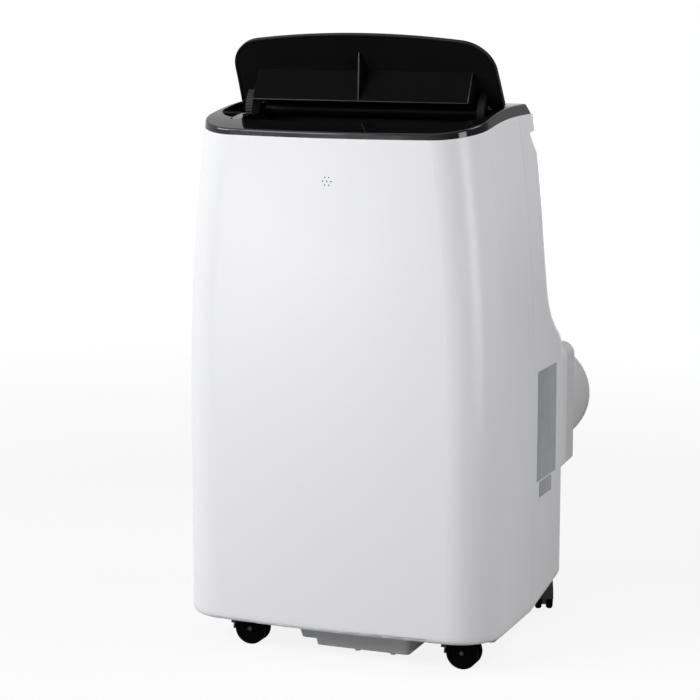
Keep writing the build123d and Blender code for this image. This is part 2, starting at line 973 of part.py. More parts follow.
def shut_cover():
    """Lid skin and skirt, shut, with the hinge barrel along its rear edge."""
    cover = rounded_top(lid_column(0, lid_rear_y) & below_top, lid_edge_radius)
    cover -= below_curve(deck_top - lid_thickness, deck_arc_radius)
    hollow = lid_column(-lid_skirt, lid_rear_y - lid_skirt)
    cover -= hollow & below_curve(deck_top - lid_skin, deck_arc_radius)
    web = block(-barrel_half, barrel_half, lid_rear_y - lid_skirt, lid_axis_y, base_top, form_height)
    cover += (web & below_top) - below_curve(deck_top - barrel_web, deck_arc_radius)
    return cover + rod_x(barrel_radius, -barrel_half, barrel_half, lid_axis_y, lid_axis_height)


def shut_liner():
    """Inner lid panel with the hollow air wedge and its center fin, shut."""
    edge = lid_skirt + liner_gap
    sheet = lid_column(-edge, lid_rear_y - edge) & below_curve(deck_top - liner_depth, deck_arc_radius)
    under = below_curve(deck_top - liner_depth - liner_thickness, deck_arc_radius)
    sheet -= under
    tip = polar((lid_axis_y, lid_axis_height), wedge_edge_radius, 180 + wedge_edge_angle)
    rear_foot = lid_rear_y - wedge_rear_run
    front_foot = lid_rear_y - wedge_front_run
    fin_foot = lid_rear_y - fin_run
    rear_point = (rear_foot, lid_liner_height(rear_foot) + liner_thickness)
    front_point = (front_foot, lid_liner_height(front_foot) + liner_thickness)
    outline = face_of(rear_point, tip, front_point)
    hollow = offset(outline, -wedge_wall)
    wedge = prism_x(outline, -wedge_half, wedge_half)
    wedge -= prism_x(hollow, -wedge_half + wedge_wall, wedge_half - wedge_wall)
    fin_point = (fin_foot, lid_liner_height(fin_foot) + liner_thickness)
    fin = prism_x(face_of(tip, fin_point, front_point), -fin_thickness / 2, fin_thickness / 2)
    return sheet + ((wedge + fin) & below_curve(deck_top - liner_depth, deck_arc_radius))


def tooth_face(pitch_radius, angle, teeth):
    """One straight-flanked tooth about the origin of the gear."""
    pitch = 360 / teeth
    half = pitch * tooth_share / 2
    root = pitch_radius - gear_module - tooth_clearance - gear_module / 2
    tip = pitch_radius + gear_module - tooth_clearance
    lean = degrees(gear_module * tan(radians(tooth_flank)) / pitch_radius)
    return face_of(
        polar((0, 0), root, angle - half - lean),
        polar((0, 0), tip, angle - half + lean),
        polar((0, 0), tip, angle + half - lean),
        polar((0, 0), root, angle + half + lean),
    )


def pie_face(radius, start, end):
    """Sector of a disc."""
    rim = arc((0, 0), radius, start, end)
    return make_face(Curve() + [Line((0, 0), rim @ 0), rim, Line(rim @ 1, (0, 0))])


def shut_sector(side, toothed):
    """Lid arm on one side: web, rim, hub and pivot pin, with teeth on the driven side."""
    place = Pos(0, lid_axis_y, lid_axis_height)
    lower = gear_lower_angle + lid_open_angle
    upper = gear_upper_angle + lid_open_angle
    root = gear_pitch_radius - gear_module - tooth_clearance
    rim_radius = root if toothed else gear_pitch_radius + gear_module
    arm = gear_arm_angle + lid_open_angle
    web = prism_x(pie_face(rim_radius, arm, lower), gear_inner_x, gear_inner_x + gear_web)
    rim = prism_x(pie_face(rim_radius, upper, lower), gear_inner_x, gear_outer_x)
    rim -= rod_x(rim_radius - gear_rim, gear_inner_x - wall, gear_outer_x + wall, 0, 0)
    sector = web + rim
    if toothed:
        pitch = 360 / gear_full_teeth
        first = mesh_angle + lid_open_angle
        for index in range(-gear_full_teeth, gear_full_teeth):
            angle = first + index * pitch
            if upper + pitch / 2 < angle < lower - pitch / 2:
                tooth = tooth_face(gear_pitch_radius, angle, gear_full_teeth)
                sector += prism_x(tooth, gear_inner_x, gear_outer_x)
    sector += rod_x(hub_radius, gear_inner_x, gear_outer_x, 0, 0)
    sector += rod_x(pivot_radius, barrel_half + barrel_gap, gear_outer_x, 0, 0)
    if side < 0:
        sector = sector.mirror(Plane.YZ)
    over_liner = block(-reach, reach, -reach, lid_rear_y, base_top, form_height)
    over_liner -= below_curve(deck_top - liner_depth - liner_thickness, deck_arc_radius)
    return place * sector - over_liner


def lid_pieces():
    """Lid pieces in the resting open pose."""
    cover = shut_cover()
    liner = shut_liner()
    gear = shut_sector(-1, True) - cover
    guide = shut_sector(1, False) - cover
    return {
        "lid_cover": opened(cover),
        "lid_liner": opened(liner),
        "lid_gear": opened(gear),
        "lid_guide": opened(guide),
    }


def lid_pinion():
    """Drive pinion with a gap turned to the lid gear."""
    root = pinion_pitch_radius - gear_module - tooth_clearance
    pinion = rod_x(root, -gear_outer_x, -gear_inner_x, 0, 0)
    pitch = 360 / pinion_teeth
    for index in range(pinion_teeth):
        angle = mesh_angle - 180 + (index + 0.5) * pitch
        tooth = tooth_face(pinion_pitch_radius, angle, pinion_teeth)
        pinion += prism_x(tooth, -gear_outer_x, -gear_inner_x)
    pinion -= rod_x(motor_shaft_radius + shaft_clearance, -reach, reach, 0, 0)
    return Pos(0, pinion_y, pinion_z) * pinion


def motor_posts():
    """Screw posts of the lid motor as (y, z), turned away from the gear."""
    center = (pinion_y, pinion_z)
    turns = (mesh_angle - motor_post_spread, mesh_angle + motor_post_spread)
    return [polar(center, motor_post_offset, turn) for turn in turns]


def lid_motor():
    """Flat geared motor with two screw tabs and its shaft."""
    motor = rod_x(motor_radius, -motor_face_x - motor_depth, -motor_face_x, pinion_y, pinion_z)
    motor += rod_x(motor_shaft_radius, -motor_face_x, -gear_inner_x - motor_tab, pinion_y, pinion_z)
    for y, z in motor_posts():
        tilt = degrees(atan2(z - pinion_z, y - pinion_y))
        arm = Pos(-motor_face_x - motor_tab / 2, (y + pinion_y) / 2, (z + pinion_z) / 2)
        motor += arm * Rot(tilt, 0, 0) * Box(motor_tab, motor_post_offset, motor_post_radius * 2)
        motor += rod_x(motor_post_radius, -motor_face_x - motor_tab, -motor_face_x, y, z)
    return motor


def vane_places():
    """Vane pivots along the duct."""
    pitch = 2 * duct_half / vane_count
    return [-duct_half + pitch * (index + 0.5) for index in range(vane_count)]


def outlet_duct(deck):
    """Air duct from the upper blower to the deck opening, with hinge ears and motor posts."""
    outer_half = duct_half + duct_wall
    front = duct_front_y - duct_wall
    rear = opening_rear_y + duct_wall
    duct = block(-outer_half, outer_half, front, rear, duct_floor, form_height) & below_cut & below_pocket
    ear_low = lid_axis_height - ear_drop
    ear_front = lid_axis_y - ear_radius
    ear_rear = lid_axis_y + ear_radius
    ear = block(duct_half, outer_half, ear_front, ear_rear, ear_low, lid_axis_height)
    ear += rod_x(ear_radius, duct_half, outer_half, lid_axis_y, lid_axis_height)
    duct += [ear, ear.mirror(Plane.YZ)]
    outlet_low = upper_center_z + upper_outlet
    left = upper_center_x + upper_tongue
    right = upper_center_x + upper_scroll_end
    middle = ((left + right) / 2, (upper_scroll_front + upper_scroll_rear) / 2)
    depth = upper_scroll_rear - upper_scroll_front
    high_middle = (front + rear) / 2
    foot = Pos(*middle, outlet_low) * Rectangle(right - left, depth)
    head = Pos(0, high_middle, duct_floor) * Rectangle(2 * outer_half, rear - front)
    duct += loft([foot, head], ruled=True)
    foot_sheet = Rectangle(right - left - 2 * scroll_wall, depth - 2 * scroll_wall)
    foot_hole = Pos(*middle, outlet_low) * foot_sheet
    head_sheet = Rectangle(2 * duct_half, rear - front - 2 * duct_wall)
    head_hole = Pos(0, high_middle, duct_floor) * head_sheet
    duct -= loft([foot_hole, head_hole], ruled=True)
    duct -= block(-duct_half, duct_half, duct_front_y, opening_rear_y, duct_floor, form_height)
    duct -= rod_x(pivot_radius + pivot_clearance, -reach, reach, lid_axis_y, lid_axis_height)
    for x in vane_places():
        duct -= rod_y(vane_pin_radius + pivot_clearance, -reach, reach, x, vane_pivot_height)
    for y, z in motor_posts():
        duct += rod_x(motor_post_radius, -motor_face_x, -outer_half, y, z)
    return duct - deck


def vane(x):
    """Upright air vane with pivot pins and a link pin."""
    front = duct_front_y + vane_side_gap
    rear = opening_rear_y - vane_side_gap
    half = vane_thickness / 2
    top = vane_pivot_height + vane_tip
    blade = block(x - half, x + half, front, rear, vane_pivot_height - vane_heel, top)
    link_z = vane_pivot_height + link_arm
    blade -= block(x - wall, x + wall, rear - vane_notch, reach, link_z - vane_notch, form_height)
    blade += rod_y(vane_pin_radius, front - duct_wall, front + vane_notch, x, vane_pivot_height)
    blade += rod_y(vane_pin_radius, rear - vane_notch, rear + duct_wall, x, vane_pivot_height)
    pin_end = rear - link_gap / 2
    return blade + rod_y(link_pin_radius, rear - vane_notch * 2, pin_end, x, link_z)


def vane_link():
    """Tie bar with an upright slot for each link pin."""
    rear = opening_rear_y - vane_side_gap - link_gap
    link_z = vane_pivot_height + link_arm
    places = vane_places()
    left = places[0] - link_end
    right = places[-1] + link_end
    low = link_z - link_height / 2
    bar = block(left, right, rear - link_thickness, rear, low, low + link_height)
    half = link_pin_radius + link_slot_play
    for x in places:
        bar -= block(x - half, x + half, -reach, reach, link_z - half - link_slot_rise / 2, link_z + half)
    return bar


def scroll_face(start, end, tongue, length):
    """Snail outline whose outlet leaves along local x at the top."""
    first = degrees(asin(tongue / start))
    points = []
    for index in range(scroll_points):
        share = index / (scroll_points - 1)
        radius = start + (end - start) * share
        points.append(polar((0, 0), radius, first - share * (270 + first)))
    curve = Spline(*points)
    edges = [
        curve,
        Line(points[-1], (length, end)),
        Line((length, end), (length, tongue)),
        Line((length, tongue), points[0]),
    ]
    return make_face(Curve() + edges)


def scroll(start, end, tongue, length, width, inlet_radius):
    """Blower housing with a round inlet on its near side, along local z."""
    outer = extrude(scroll_face(start, end, tongue, length), width)
    inset = scroll_wall
    inner_face = scroll_face(start - inset, end - inset, tongue + inset, length + inset)
    inner = Pos(0, 0, inset) * extrude(inner_face, width - 2 * inset)
    housing = outer - inner
    housing -= Cylinder(inlet_radius, scroll_wall * 3)
    return housing - Pos(0, 0, width) * Cylinder(fan_shaft_hole, scroll_wall * 3)


def blower_wheel(radius, width):
    """Forward-curved wheel: back disc, hub, blades and stiffening ring, along local z."""
    wheel = Pos(0, 0, width - disc_thickness / 2) * Cylinder(radius, disc_thickness)
    ring_middle = Pos(0, 0, ring_height / 2)
    wheel += ring_middle * (Cylinder(radius, ring_height) - Cylinder(radius - disc_thickness, ring_height))
    curve_center = (radius - blade_chord / 2, blade_curve_offset)
    sweep_half = degrees(asin(blade_chord / 2 / blade_curve_radius))
    first = blade_facing - sweep_half
    last = blade_facing + sweep_half
    outer_arc = arc(curve_center, blade_curve_radius, first, last)
    inner_arc = arc(curve_center, blade_curve_radius - blade_thickness, last, first)
    tip = Line(outer_arc @ 1, inner_arc @ 0)
    heel = Line(inner_arc @ 1, outer_arc @ 0)
    blade = make_face(Curve() + [outer_arc, tip, inner_arc, heel])
    round_edge = Pos(0, 0, width / 2) * Cylinder(radius, width)
    blades = [Rot(0, 0, index * 360 / blade_count) * extrude(blade, width) for index in range(blade_count)]
    wheel += [part & round_edge for part in blades]
    wheel += Pos(0, 0, width - fan_hub_length / 2) * Cylinder(fan_hub_radius, fan_hub_length)
    return wheel - Pos(0, 0, width / 2) * Cylinder(fan_shaft_radius + shaft_clearance, width * 2)


def fan_motor(depth, shaft_length):
    """Round fan motor with a stepped end cap and a shaft, along local z."""
    motor = Pos(0, 0, depth / 2 - motor_cap / 2) * Cylinder(fan_motor_radius, depth - motor_cap)
    motor += Pos(0, 0, depth - motor_cap / 2) * Cylinder(fan_motor_boss, motor_cap)
    return motor + Pos(0, 0, -shaft_length / 2) * Cylinder(fan_shaft_radius, shaft_length)


def upper_blower():
    """Room-air blower with its axle along Y, blowing up into the duct."""
    plane = Plane((upper_center_x, upper_scroll_rear, upper_center_z), x_dir=(0, 0, 1), z_dir=(0, -1, 0))
    flipped = Plane((upper_center_x, upper_scroll_front, upper_center_z), x_dir=(0, 0, 1), z_dir=(0, 1, 0))
    width = upper_scroll_rear - upper_scroll_front
    housing = scroll(
        upper_scroll_start, upper_scroll_end, upper_tongue, upper_outlet, width, upper_inlet_radius
    )
    housing = flipped * mirrored_end(housing, width)
    wheel = plane * Pos(0, 0, wheel_gap) * blower_wheel(upper_wheel_radius, upper_wheel_width)
    shaft_length = width - wheel_gap * 2
    motor = plane * Pos(0, 0, width) * fan_motor(upper_motor_depth, shaft_length)
    return {"upper_scroll": housing, "upper_wheel": wheel, "upper_fan_motor": motor}


def mirrored_end(housing, width):
    """Housing turned over so that its inlet is on the far side."""
    return Pos(0, 0, width) * housing.mirror(Plane.XY)


def lower_blower():
    """Hot-air blower with its axle along X, blowing back to the exhaust."""
    left = adapter_x - lower_scroll_width / 2
    plane = Plane((left, lower_center_y, lower_center_z), x_dir=(0, 1, 0), z_dir=(1, 0, 0))
    length = rear_y - wall - lower_center_y
    housing = plane * scroll(
        lower_scroll_start, lower_scroll_end, lower_tongue, length, lower_scroll_width, lower_inlet_radius
    )
    wheel = plane * Pos(0, 0, wheel_gap) * blower_wheel(lower_wheel_radius, lower_wheel_width)
    shaft_length = lower_scroll_width - wheel_gap * 2
    motor = plane * Pos(0, 0, lower_scroll_width) * fan_motor(lower_motor_depth, shaft_length)
    return {"lower_scroll": housing, "lower_wheel": wheel, "lower_fan_motor": motor}


def partition():
    """Middle floor with the drip trough under the evaporator."""
    floor = fitted_form & block(-reach, reach, -reach, reach, partition_bottom, partition_top)
    left = -evaporator_half - bend_radius - bend_tube_radius - trough_margin
    right = evaporator_half + trough_margin
    front = evaporator_front - trough_margin
    rear = evaporator_front + evaporator_depth + trough_margin
    top = partition_top + trough_height
    rim = block(left, right, front, rear, partition_top, top)
    rim -= block(
        left + trough_wall, right - trough_wall, front + trough_wall, rear - trough_wall, partition_top, top
    )
    floor += rim
    return floor - rod_z(suction_pipe_radius + pipe_hole_gap, 0, reach, suction_x, compressor_y)


def coil(left, right, front, depth, bottom, top, bend_side):
    """Finned coil: core, end plates and return bends on one end."""
    core = block(left, right, front, front + depth, bottom, top)
    count = int((right - left) / coil_fin_pitch)
    for index in range(1, count):
        x = left + index * coil_fin_pitch
        groove = block(x - coil_fin_depth, x + coil_fin_depth, front, front + coil_fin_depth, bottom, top)
        core -= [groove, Pos(0, depth - coil_fin_depth, 0) * groove]
    for x in (left - coil_plate, right):
        near = front - coil_plate_lip
        core += block(x, x + coil_plate, near, front + depth + coil_plate_lip, bottom, top)
    end = right + coil_plate if bend_side > 0 else left - coil_plate
    pitch = (top - bottom - 2 * bend_first) / (bend_count - 1)
    for index in range(bend_count):
        z = bottom + bend_first + index * pitch
        core += Pos(end, front + depth / 2, z) * return_bend(bend_side)
    return core


def return_bend(side):
    """Half ring of tube that leaves an end plate and comes back."""
    tube = Plane.YZ * (Pos(0, bend_radius) * Circle(bend_tube_radius))
    return revolve(tube, Axis.Y, 180 * side)


def evaporator():
    """Cold coil behind the room-air intake."""
    return coil(
        -evaporator_half,
        evaporator_half,
        evaporator_front,
        evaporator_depth,
        partition_top,
        partition_top + evaporator_height,
        -1,
    )


def condenser():
    """Hot coil behind the lower grille, on two feet."""
    hot = coil(
        condenser_left, condenser_right, condenser_front, condenser_depth, condenser_bottom, condenser_top, 1
    )
    rear = condenser_front + condenser_depth
    for x in (coil_foot_left, coil_foot_right):
        foot = block(x, x + coil_foot_width, condenser_front, rear, tray_floor, condenser_bottom)
        hot += foot - below_base(wall)
    return hot


def capsule(radius, height, dome, x, y, z):
    """Upright pressure vessel with domed ends, standing at a height."""
    profile = make_face(
        Curve()
        + [
            Line((0, 0), (radius - dome, 0)),
            arc((radius - dome, dome), dome, 270, 360),
            Line((radius, dome), (radius, height - dome)),
            arc((radius - dome, height - dome), dome, 0, 90),
            Line((radius - dome, height), (0, height)),
            Line((0, height), (0, 0)),
        ]
    )
    return Pos(x, y, z) * revolve(Plane.XZ * profile, Axis.Z)


def foot_places():
    """Rubber feet of the compressor as (x, y)."""
    center = (compressor_x, compressor_y)
    return [polar(center, foot_circle, 270 + index * 360 / foot_count) for index in range(foot_count)]


def compressor():
    """Welded compressor shell on a three-cornered foot plate."""
    base = tray_floor + compressor_lift
    shell = capsule(compressor_radius, compressor_height, compressor_dome, compressor_x, compressor_y, base)
    corners = foot_places()
    plate = Pos(0, 0, base - foot_plate) * extrude(face_of(*corners), foot_plate)
    for x, y in corners:
        plate += rod_z(foot_tab_radius, base - foot_plate, base, x, y)
    middle = rod_z(compressor_radius - compressor_dome, base - foot_plate, base, compressor_x, compressor_y)
    return shell + plate + middle


def compressor_feet():
    """Rubber feet between the foot plate and the tray."""
    top = tray_floor + compressor_lift - foot_plate
    return Compound([rod_z(foot_pad_radius, tray_floor, top, x, y) for x, y in foot_places()])


def accumulator():
    """Suction accumulator strapped beside the compressor."""
    x = compressor_x + accumulator_offset
    vessel = capsule(
        accumulator_radius, accumulator_height, accumulator_dome, x, compressor_y, accumulator_lift
    )
    half = accumulator_strap / 2
    middle = accumulator_lift + accumulator_height / 2
    strap = block(compressor_x, x, compressor_y - half, compressor_y + half, middle - half, middle + half)
    strap -= rod_z(compressor_radius, 0, reach, compressor_x, compressor_y)
    return vessel + strap


def pipe(radius, *points):
    """Copper pipe along straight runs joined by round bends."""
    path = FilletPolyline(*points, radius=pipe_bend)
    section = Plane(path @ 0, z_dir=path % 0) * Circle(radius)
    return sweep(section, path=path)


def suction_pipe():
    """Cold pipe from the evaporator down to the accumulator."""
    x = compressor_x + accumulator_offset
    low = accumulator_lift + accumulator_height
    return pipe(
        suction_pipe_radius,
        (x, compressor_y, low),
        (x, compressor_y, suction_rise),
        (suction_x, compressor_y, suction_rise),
        (suction_x, compressor_y, suction_top),
        (suction_x, suction_end_y, suction_top),
        (-evaporator_half - coil_plate, suction_end_y, suction_top),
    )


def discharge_pipe():
    """Hot pipe from the compressor top to the condenser."""
    return pipe(
        discharge_pipe_radius,
        (compressor_x, compressor_y, compressor_top),
        (compressor_x, compressor_y, discharge_rise),
        (compressor_x, condenser_front, discharge_rise),
    )


def electrical_box():
    """Closed wiring box with ribs on its inner face."""
    top = partition_top + 2 * electrical_half_height
    box = block(
        electrical_left, electrical_right, electrical_front, electrical_rear, partition_top, top
    )
    box = fillet(box.edges().filter_by(Axis.Z), electrical_round)
    pitch = (electrical_rear - electrical_front) / (electrical_rib_count + 1)
    for index in range(electrical_rib_count):
        y = electrical_front + (index + 1) * pitch
        box += block(
            electrical_left - electrical_rib_depth,
            electrical_left + electrical_rib,
            y - electrical_rib / 2,
            y + electrical_rib / 2,
            partition_top,
            top - electrical_round,
        )
    return box


def slotted_plate(left, right, bottom, top, y0, y1, rows, columns, height):
    """Flat grille plate with rows of level slots."""
    plate = block(left, right, y0, y1, bottom, top)
    pitch = (top - bottom - 2 * grille_border) / rows
    span = (right - left - 2 * grille_border - (columns - 1) * grille_bar) / columns
    slots = []
    for row in range(rows):
        z = bottom + grille_border + (row + 0.5) * pitch
        for column in range(columns):
            x = left + grille_border + column * (span + grille_bar)
            slots.append(block(x, x + span, y0 - wall, y1 + wall, z - height / 2, z + height / 2))
    return plate - slots


def intake_grille():
    """Upper intake grille with the frame that carries the filter."""
    half = intake_half - grille_gap
    low = intake_bottom + grille_gap
    high = intake_top - grille_gap
    plate = slotted_plate(
        -half, half, low, high, upper_rear_y - wall, upper_rear_y, intake_rows, intake_columns, slot_height
    )
    frame = block(-half, half, upper_rear_y - intake_flange, upper_rear_y, low, high)
    frame -= block(-half + wall, half - wall, -reach, reach, low + wall, high - wall)
    return plate + frame


def filter_mesh():
    """Filter net inside the intake frame."""
    half = intake_half - grille_gap - wall
    low = intake_bottom + grille_gap + wall
    high = intake_top - grille_gap - wall
    y0 = upper_rear_y - mesh_inset
    net = block(-half, half, y0, y0 + mesh_thickness, low, high)
    across = (2 * half - mesh_bar) / mesh_columns
    rise = (high - low - mesh_bar) / mesh_rows
    gaps = []
    for column in range(mesh_columns):
        for row in range(mesh_rows):
            x = -half + mesh_bar + column * across
            z = low + mesh_bar + row * rise
            gaps.append(block(x, x + across - mesh_bar, -reach, reach, z, z + rise - mesh_bar))
    return net - gaps


def condenser_grille():
    """Lower intake grille set into the rear casing."""
    return slotted_plate(
        condenser_grille_left + grille_gap,
        condenser_grille_right - grille_gap,
        condenser_grille_bottom + grille_gap,
        condenser_grille_top - grille_gap,
        rear_y - wall,
        rear_y,
        condenser_grille_rows,
        condenser_grille_columns,
        condenser_slot_height,
    )


def adapter_face(inset):
    """Adapter outline from behind: round top corners and cut bottom corners."""
    sheet = Rectangle(adapter_width - 2 * inset, adapter_height - 2 * inset)
    low_corners = sheet.vertices().sort_by(Axis.Y)[:2]
    sheet = chamfer(low_corners, adapter_bottom_chamfer - inset / 2)
    high_corners = sheet.vertices().sort_by(Axis.Y)[-2:]
    sheet = fillet(high_corners, adapter_top_radius - inset)
    return Pos(adapter_x, adapter_z) * sheet


def hose_adapter():
    """Exhaust adapter: hollow box with a round collar for the hose."""
    face_y = rear_y + adapter_depth
    end_y = face_y + collar_length
    box = prism_y(adapter_face(0), rear_y, face_y)
    rim = box.faces().sort_by(Axis.Y)[-1]
    box = fillet(rim.edges(), adapter_edge_radius)
    box -= prism_y(adapter_face(adapter_wall), rear_y - wall, face_y - adapter_wall)
    box += rod_y(collar_radius, face_y - adapter_wall, end_y, adapter_x, adapter_z)
    bead_y = end_y - collar_bead_inset
    box += rod_y(collar_radius + collar_bead, bead_y - collar_bead_width, bead_y, adapter_x, adapter_z)
    return box - rod_y(collar_radius - collar_wall, rear_y, reach, adapter_x, adapter_z)


def drain_plug(height):
    """Rubber drain plug with a finger rim."""
    head_y = rear_y + plug_head_gap
    plug = rod_y(plug_radius, head_y - plug_length, head_y, drain_x, height)
    return plug + rod_y(plug_head_radius, head_y, head_y + plug_head, drain_x, height)


def cord_gland():
    """Bare gland where the supply lead leaves the casing."""
    gland = rod_y(gland_barrel_radius, rear_y - gland_length, rear_y, gland_x, gland_z)
    gland += rod_y(gland_flange_radius, rear_y, rear_y + gland_flange, gland_x, gland_z)
    return gland - rod_y(gland_bore_radius, rear_y - gland_length - wall, reach, gland_x, gland_z)


def sounder():
    """Sounder disc behind the small front holes."""
    near = front_y + wall + sounder_gap
    return rod_y(sounder_radius, near, near + sounder_depth, 0, sounder_height)


def caster_fork():
    """Caster body about its stem: collar, web, hood and axle."""
    fork = rod_z(stem_radius, stem_collar_bottom, well_top + stem_length, 0, 0)
    fork += rod_z(stem_collar_radius, stem_collar_bottom, well_top - stem_collar_gap, 0, 0)
    fork += rod_y(fork_hub_radius, -fork_half, fork_half, caster_trail, wheel_radius)
    fork += block(-stem_collar_radius, caster_trail, -fork_half, fork_half, fork_bottom, fork_top)
    inner = wheel_radius + hood_gap
    ring = arc((0, 0), inner + hood_thickness, hood_start, hood_end)
    back = arc((0, 0), inner, hood_end, hood_start)
    band = make_face(Curve() + [ring, Line(ring @ 1, back @ 0), back, Line(back @ 1, ring @ 0)])
    hood_half = wheel_offset + wheel_width
    fork += Pos(caster_trail, 0, wheel_radius) * prism_y(band, -hood_half, hood_half)
    return fork + rod_y(axle_radius, -hood_half, hood_half, caster_trail, wheel_radius)


def caster_wheels():
    """Twin wheels about the axle of one caster."""
    wheel = rod_y(wheel_radius, wheel_offset, wheel_offset + wheel_width, caster_trail, wheel_radius)
    outer_rim = wheel.faces().sort_by(Axis.Y)[-1].edges()
    inner_rim = wheel.faces().sort_by(Axis.Y)[0].edges()
    wheel = chamfer(outer_rim + inner_rim, wheel_edge)
    far = wheel_offset + wheel_width
    dish_radius = wheel_radius - wheel_rim
    dish = rod_y(dish_radius, far - wheel_recess, far + wheel_recess, caster_trail, wheel_radius)
    boss = rod_y(wheel_boss_radius, far - wheel_recess * 2, far, caster_trail, wheel_radius)
    wheel = wheel - dish + boss
    wheel -= rod_y(axle_radius + axle_clearance, -reach, reach, caster_trail, wheel_radius)
    return Compound([wheel, wheel.mirror(Plane.XZ)])


def casters():
    """Fork and wheels of every caster at its resting heading."""
    pieces = {}
    fork = caster_fork()
    wheels = caster_wheels()
    for corner, (x, y, heading) in caster_places().items():
        place = Pos(x, y, 0) * Rot(0, 0, heading)
        pieces[f"caster_fork_{corner}"] = place * fork
        pieces[f"caster_wheels_{corner}"] = place * wheels
    return pieces


def all_pieces():
    """Every piece of the air conditioner, keyed by name."""
    deck = top_deck()
    pieces = {
        "base_tray": base_tray(),
        "base_sump": base_sump(),
        "front_shell": front_shell(),
        "rear_shell": rear_shell(),
        "shell_screws": shell_screws(),
        "top_deck": deck,
        "outlet_duct": outlet_duct(deck),
        "vane_link": vane_link(),
        "control_panel": control_panel(),
        "control_board": control_board(),
        "lid_pinion": lid_pinion(),
        "lid_motor": lid_motor(),
        "sounder": sounder(),
        "partition": partition(),
        "evaporator": evaporator(),
        "condenser": condenser(),
        "compressor": compressor(),
        "compressor_feet": compressor_feet(),
        "accumulator": accumulator(),
        "suction_pipe": suction_pipe(),
        "discharge_pipe": discharge_pipe(),
        "electrical_box": electrical_box(),
        "intake_grille": intake_grille(),
        "filter_mesh": filter_mesh(),
        "condenser_grille": condenser_grille(),
        "hose_adapter": hose_adapter(),
        "drain_plug_upper": drain_plug(drain_upper_z),
        "drain_plug_lower": drain_plug(drain_lower_z),
        "cord_gland": cord_gland(),
    }
    pieces.update(lid_pieces())
    pieces.update(upper_blower())
    pieces.update(lower_blower())
    pieces.update(casters())
    for index, x in enumerate(vane_places(), start=1):
        pieces[f"vane_{index}"] = vane(x)
    for index, x in enumerate(button_centers(), start=1):
        pieces[f"button_{index}"] = push_button(x)
    return pieces


for name, piece in all_pieces().items():
    export_step(piece, f"parts/{name}.step")
    print(name, len(piece.solids()), round(piece.volume))
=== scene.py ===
"""Portable air conditioner: finishes, small trim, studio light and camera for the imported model."""
import logging
from dataclasses import dataclass
from enum import Enum
from math import radians
from typing import Callable, Iterable

import bmesh
import bpy
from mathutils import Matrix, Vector


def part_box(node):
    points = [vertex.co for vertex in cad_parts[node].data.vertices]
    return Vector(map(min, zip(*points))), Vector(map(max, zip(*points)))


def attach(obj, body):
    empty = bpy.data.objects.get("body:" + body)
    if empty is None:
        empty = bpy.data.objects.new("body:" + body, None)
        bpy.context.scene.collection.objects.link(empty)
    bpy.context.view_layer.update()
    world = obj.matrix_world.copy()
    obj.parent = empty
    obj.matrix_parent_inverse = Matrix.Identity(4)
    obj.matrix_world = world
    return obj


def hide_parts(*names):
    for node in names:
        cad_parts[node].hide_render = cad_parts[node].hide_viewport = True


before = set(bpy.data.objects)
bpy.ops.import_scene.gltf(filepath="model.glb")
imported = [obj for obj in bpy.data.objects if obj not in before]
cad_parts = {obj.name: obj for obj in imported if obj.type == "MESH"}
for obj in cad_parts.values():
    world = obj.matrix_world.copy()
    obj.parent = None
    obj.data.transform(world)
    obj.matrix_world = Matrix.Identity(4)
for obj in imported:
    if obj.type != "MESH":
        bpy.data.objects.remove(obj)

LOG = logging.getLogger("air_conditioner")
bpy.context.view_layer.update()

# Values between which the noise and wave textures mostly lie.
TEXTURE_REACH = (0.3, 0.7)
# All the values of a mask.
MASK_REACH = (0.0, 1.0)
# Share of the cell texture in the mould grain's height.
CELL_SHARE = 0.4
# Strength of every bump; its depth is set in metres.
BUMP_STRENGTH = 0.5
# Length of one wave of the wave texture at scale 1, in metres.
WAVE_LENGTH = 0.314159
# Facets across a rounded edge.
EDGE_STEPS = 3
# Sockets of a mix node that mixes colours.
MIX_FACTOR, MIX_FIRST, MIX_SECOND, MIX_RESULT = 0, 6, 7, 2

Colour = tuple[float, float, float]
Point = tuple[float, float, float]
Pair = tuple[float, float]


class Body(str, Enum):
    """Moving bodies that take pieces modelled here."""

    CABINET = "cabinet"
    LID = "lid"


class Mark(str, Enum):
    """Generic signs on the push buttons."""

    RING = "ring"
    BAR = "bar"
    CROSS = "cross"
    WAVES = "waves"
    DOTS = "dots"


class Wiring:
    """Adds and joins the nodes of one shader tree."""

    def __init__(self, tree: bpy.types.NodeTree) -> None:
        """Keeps the tree that the nodes go into."""
        self.tree = tree

    def add(self, kind: str, place: Pair, **inputs: object) -> bpy.types.Node:
        """Adds a node and sets its plain inputs.

        Args:
            kind: Blender's type name of the node.
            place: where it is drawn in the editor.
            **inputs: socket name, with spaces written as underscores, to value.

        Returns:
            The new node.
        """
        node = self.tree.nodes.new(kind)
        node.location = place
        for name, value in inputs.items():
            node.inputs[name.replace("_", " ")].default_value = value
        return node

    def math(self, operation: str, place: Pair, vector: bool = False) -> bpy.types.Node:
        """Adds a math node.

        Args:
            operation: Blender's name of the operation.
            place: where it is drawn in the editor.
            vector: true for vector math.

        Returns:
            The new node.
        """
        node = self.add("ShaderNodeVectorMath" if vector else "ShaderNodeMath", place)
        node.operation = operation
        return node

    def join(self, source: bpy.types.NodeSocket, target: bpy.types.NodeSocket) -> None:
        """Links an output to an input."""
        self.tree.links.new(source, target)


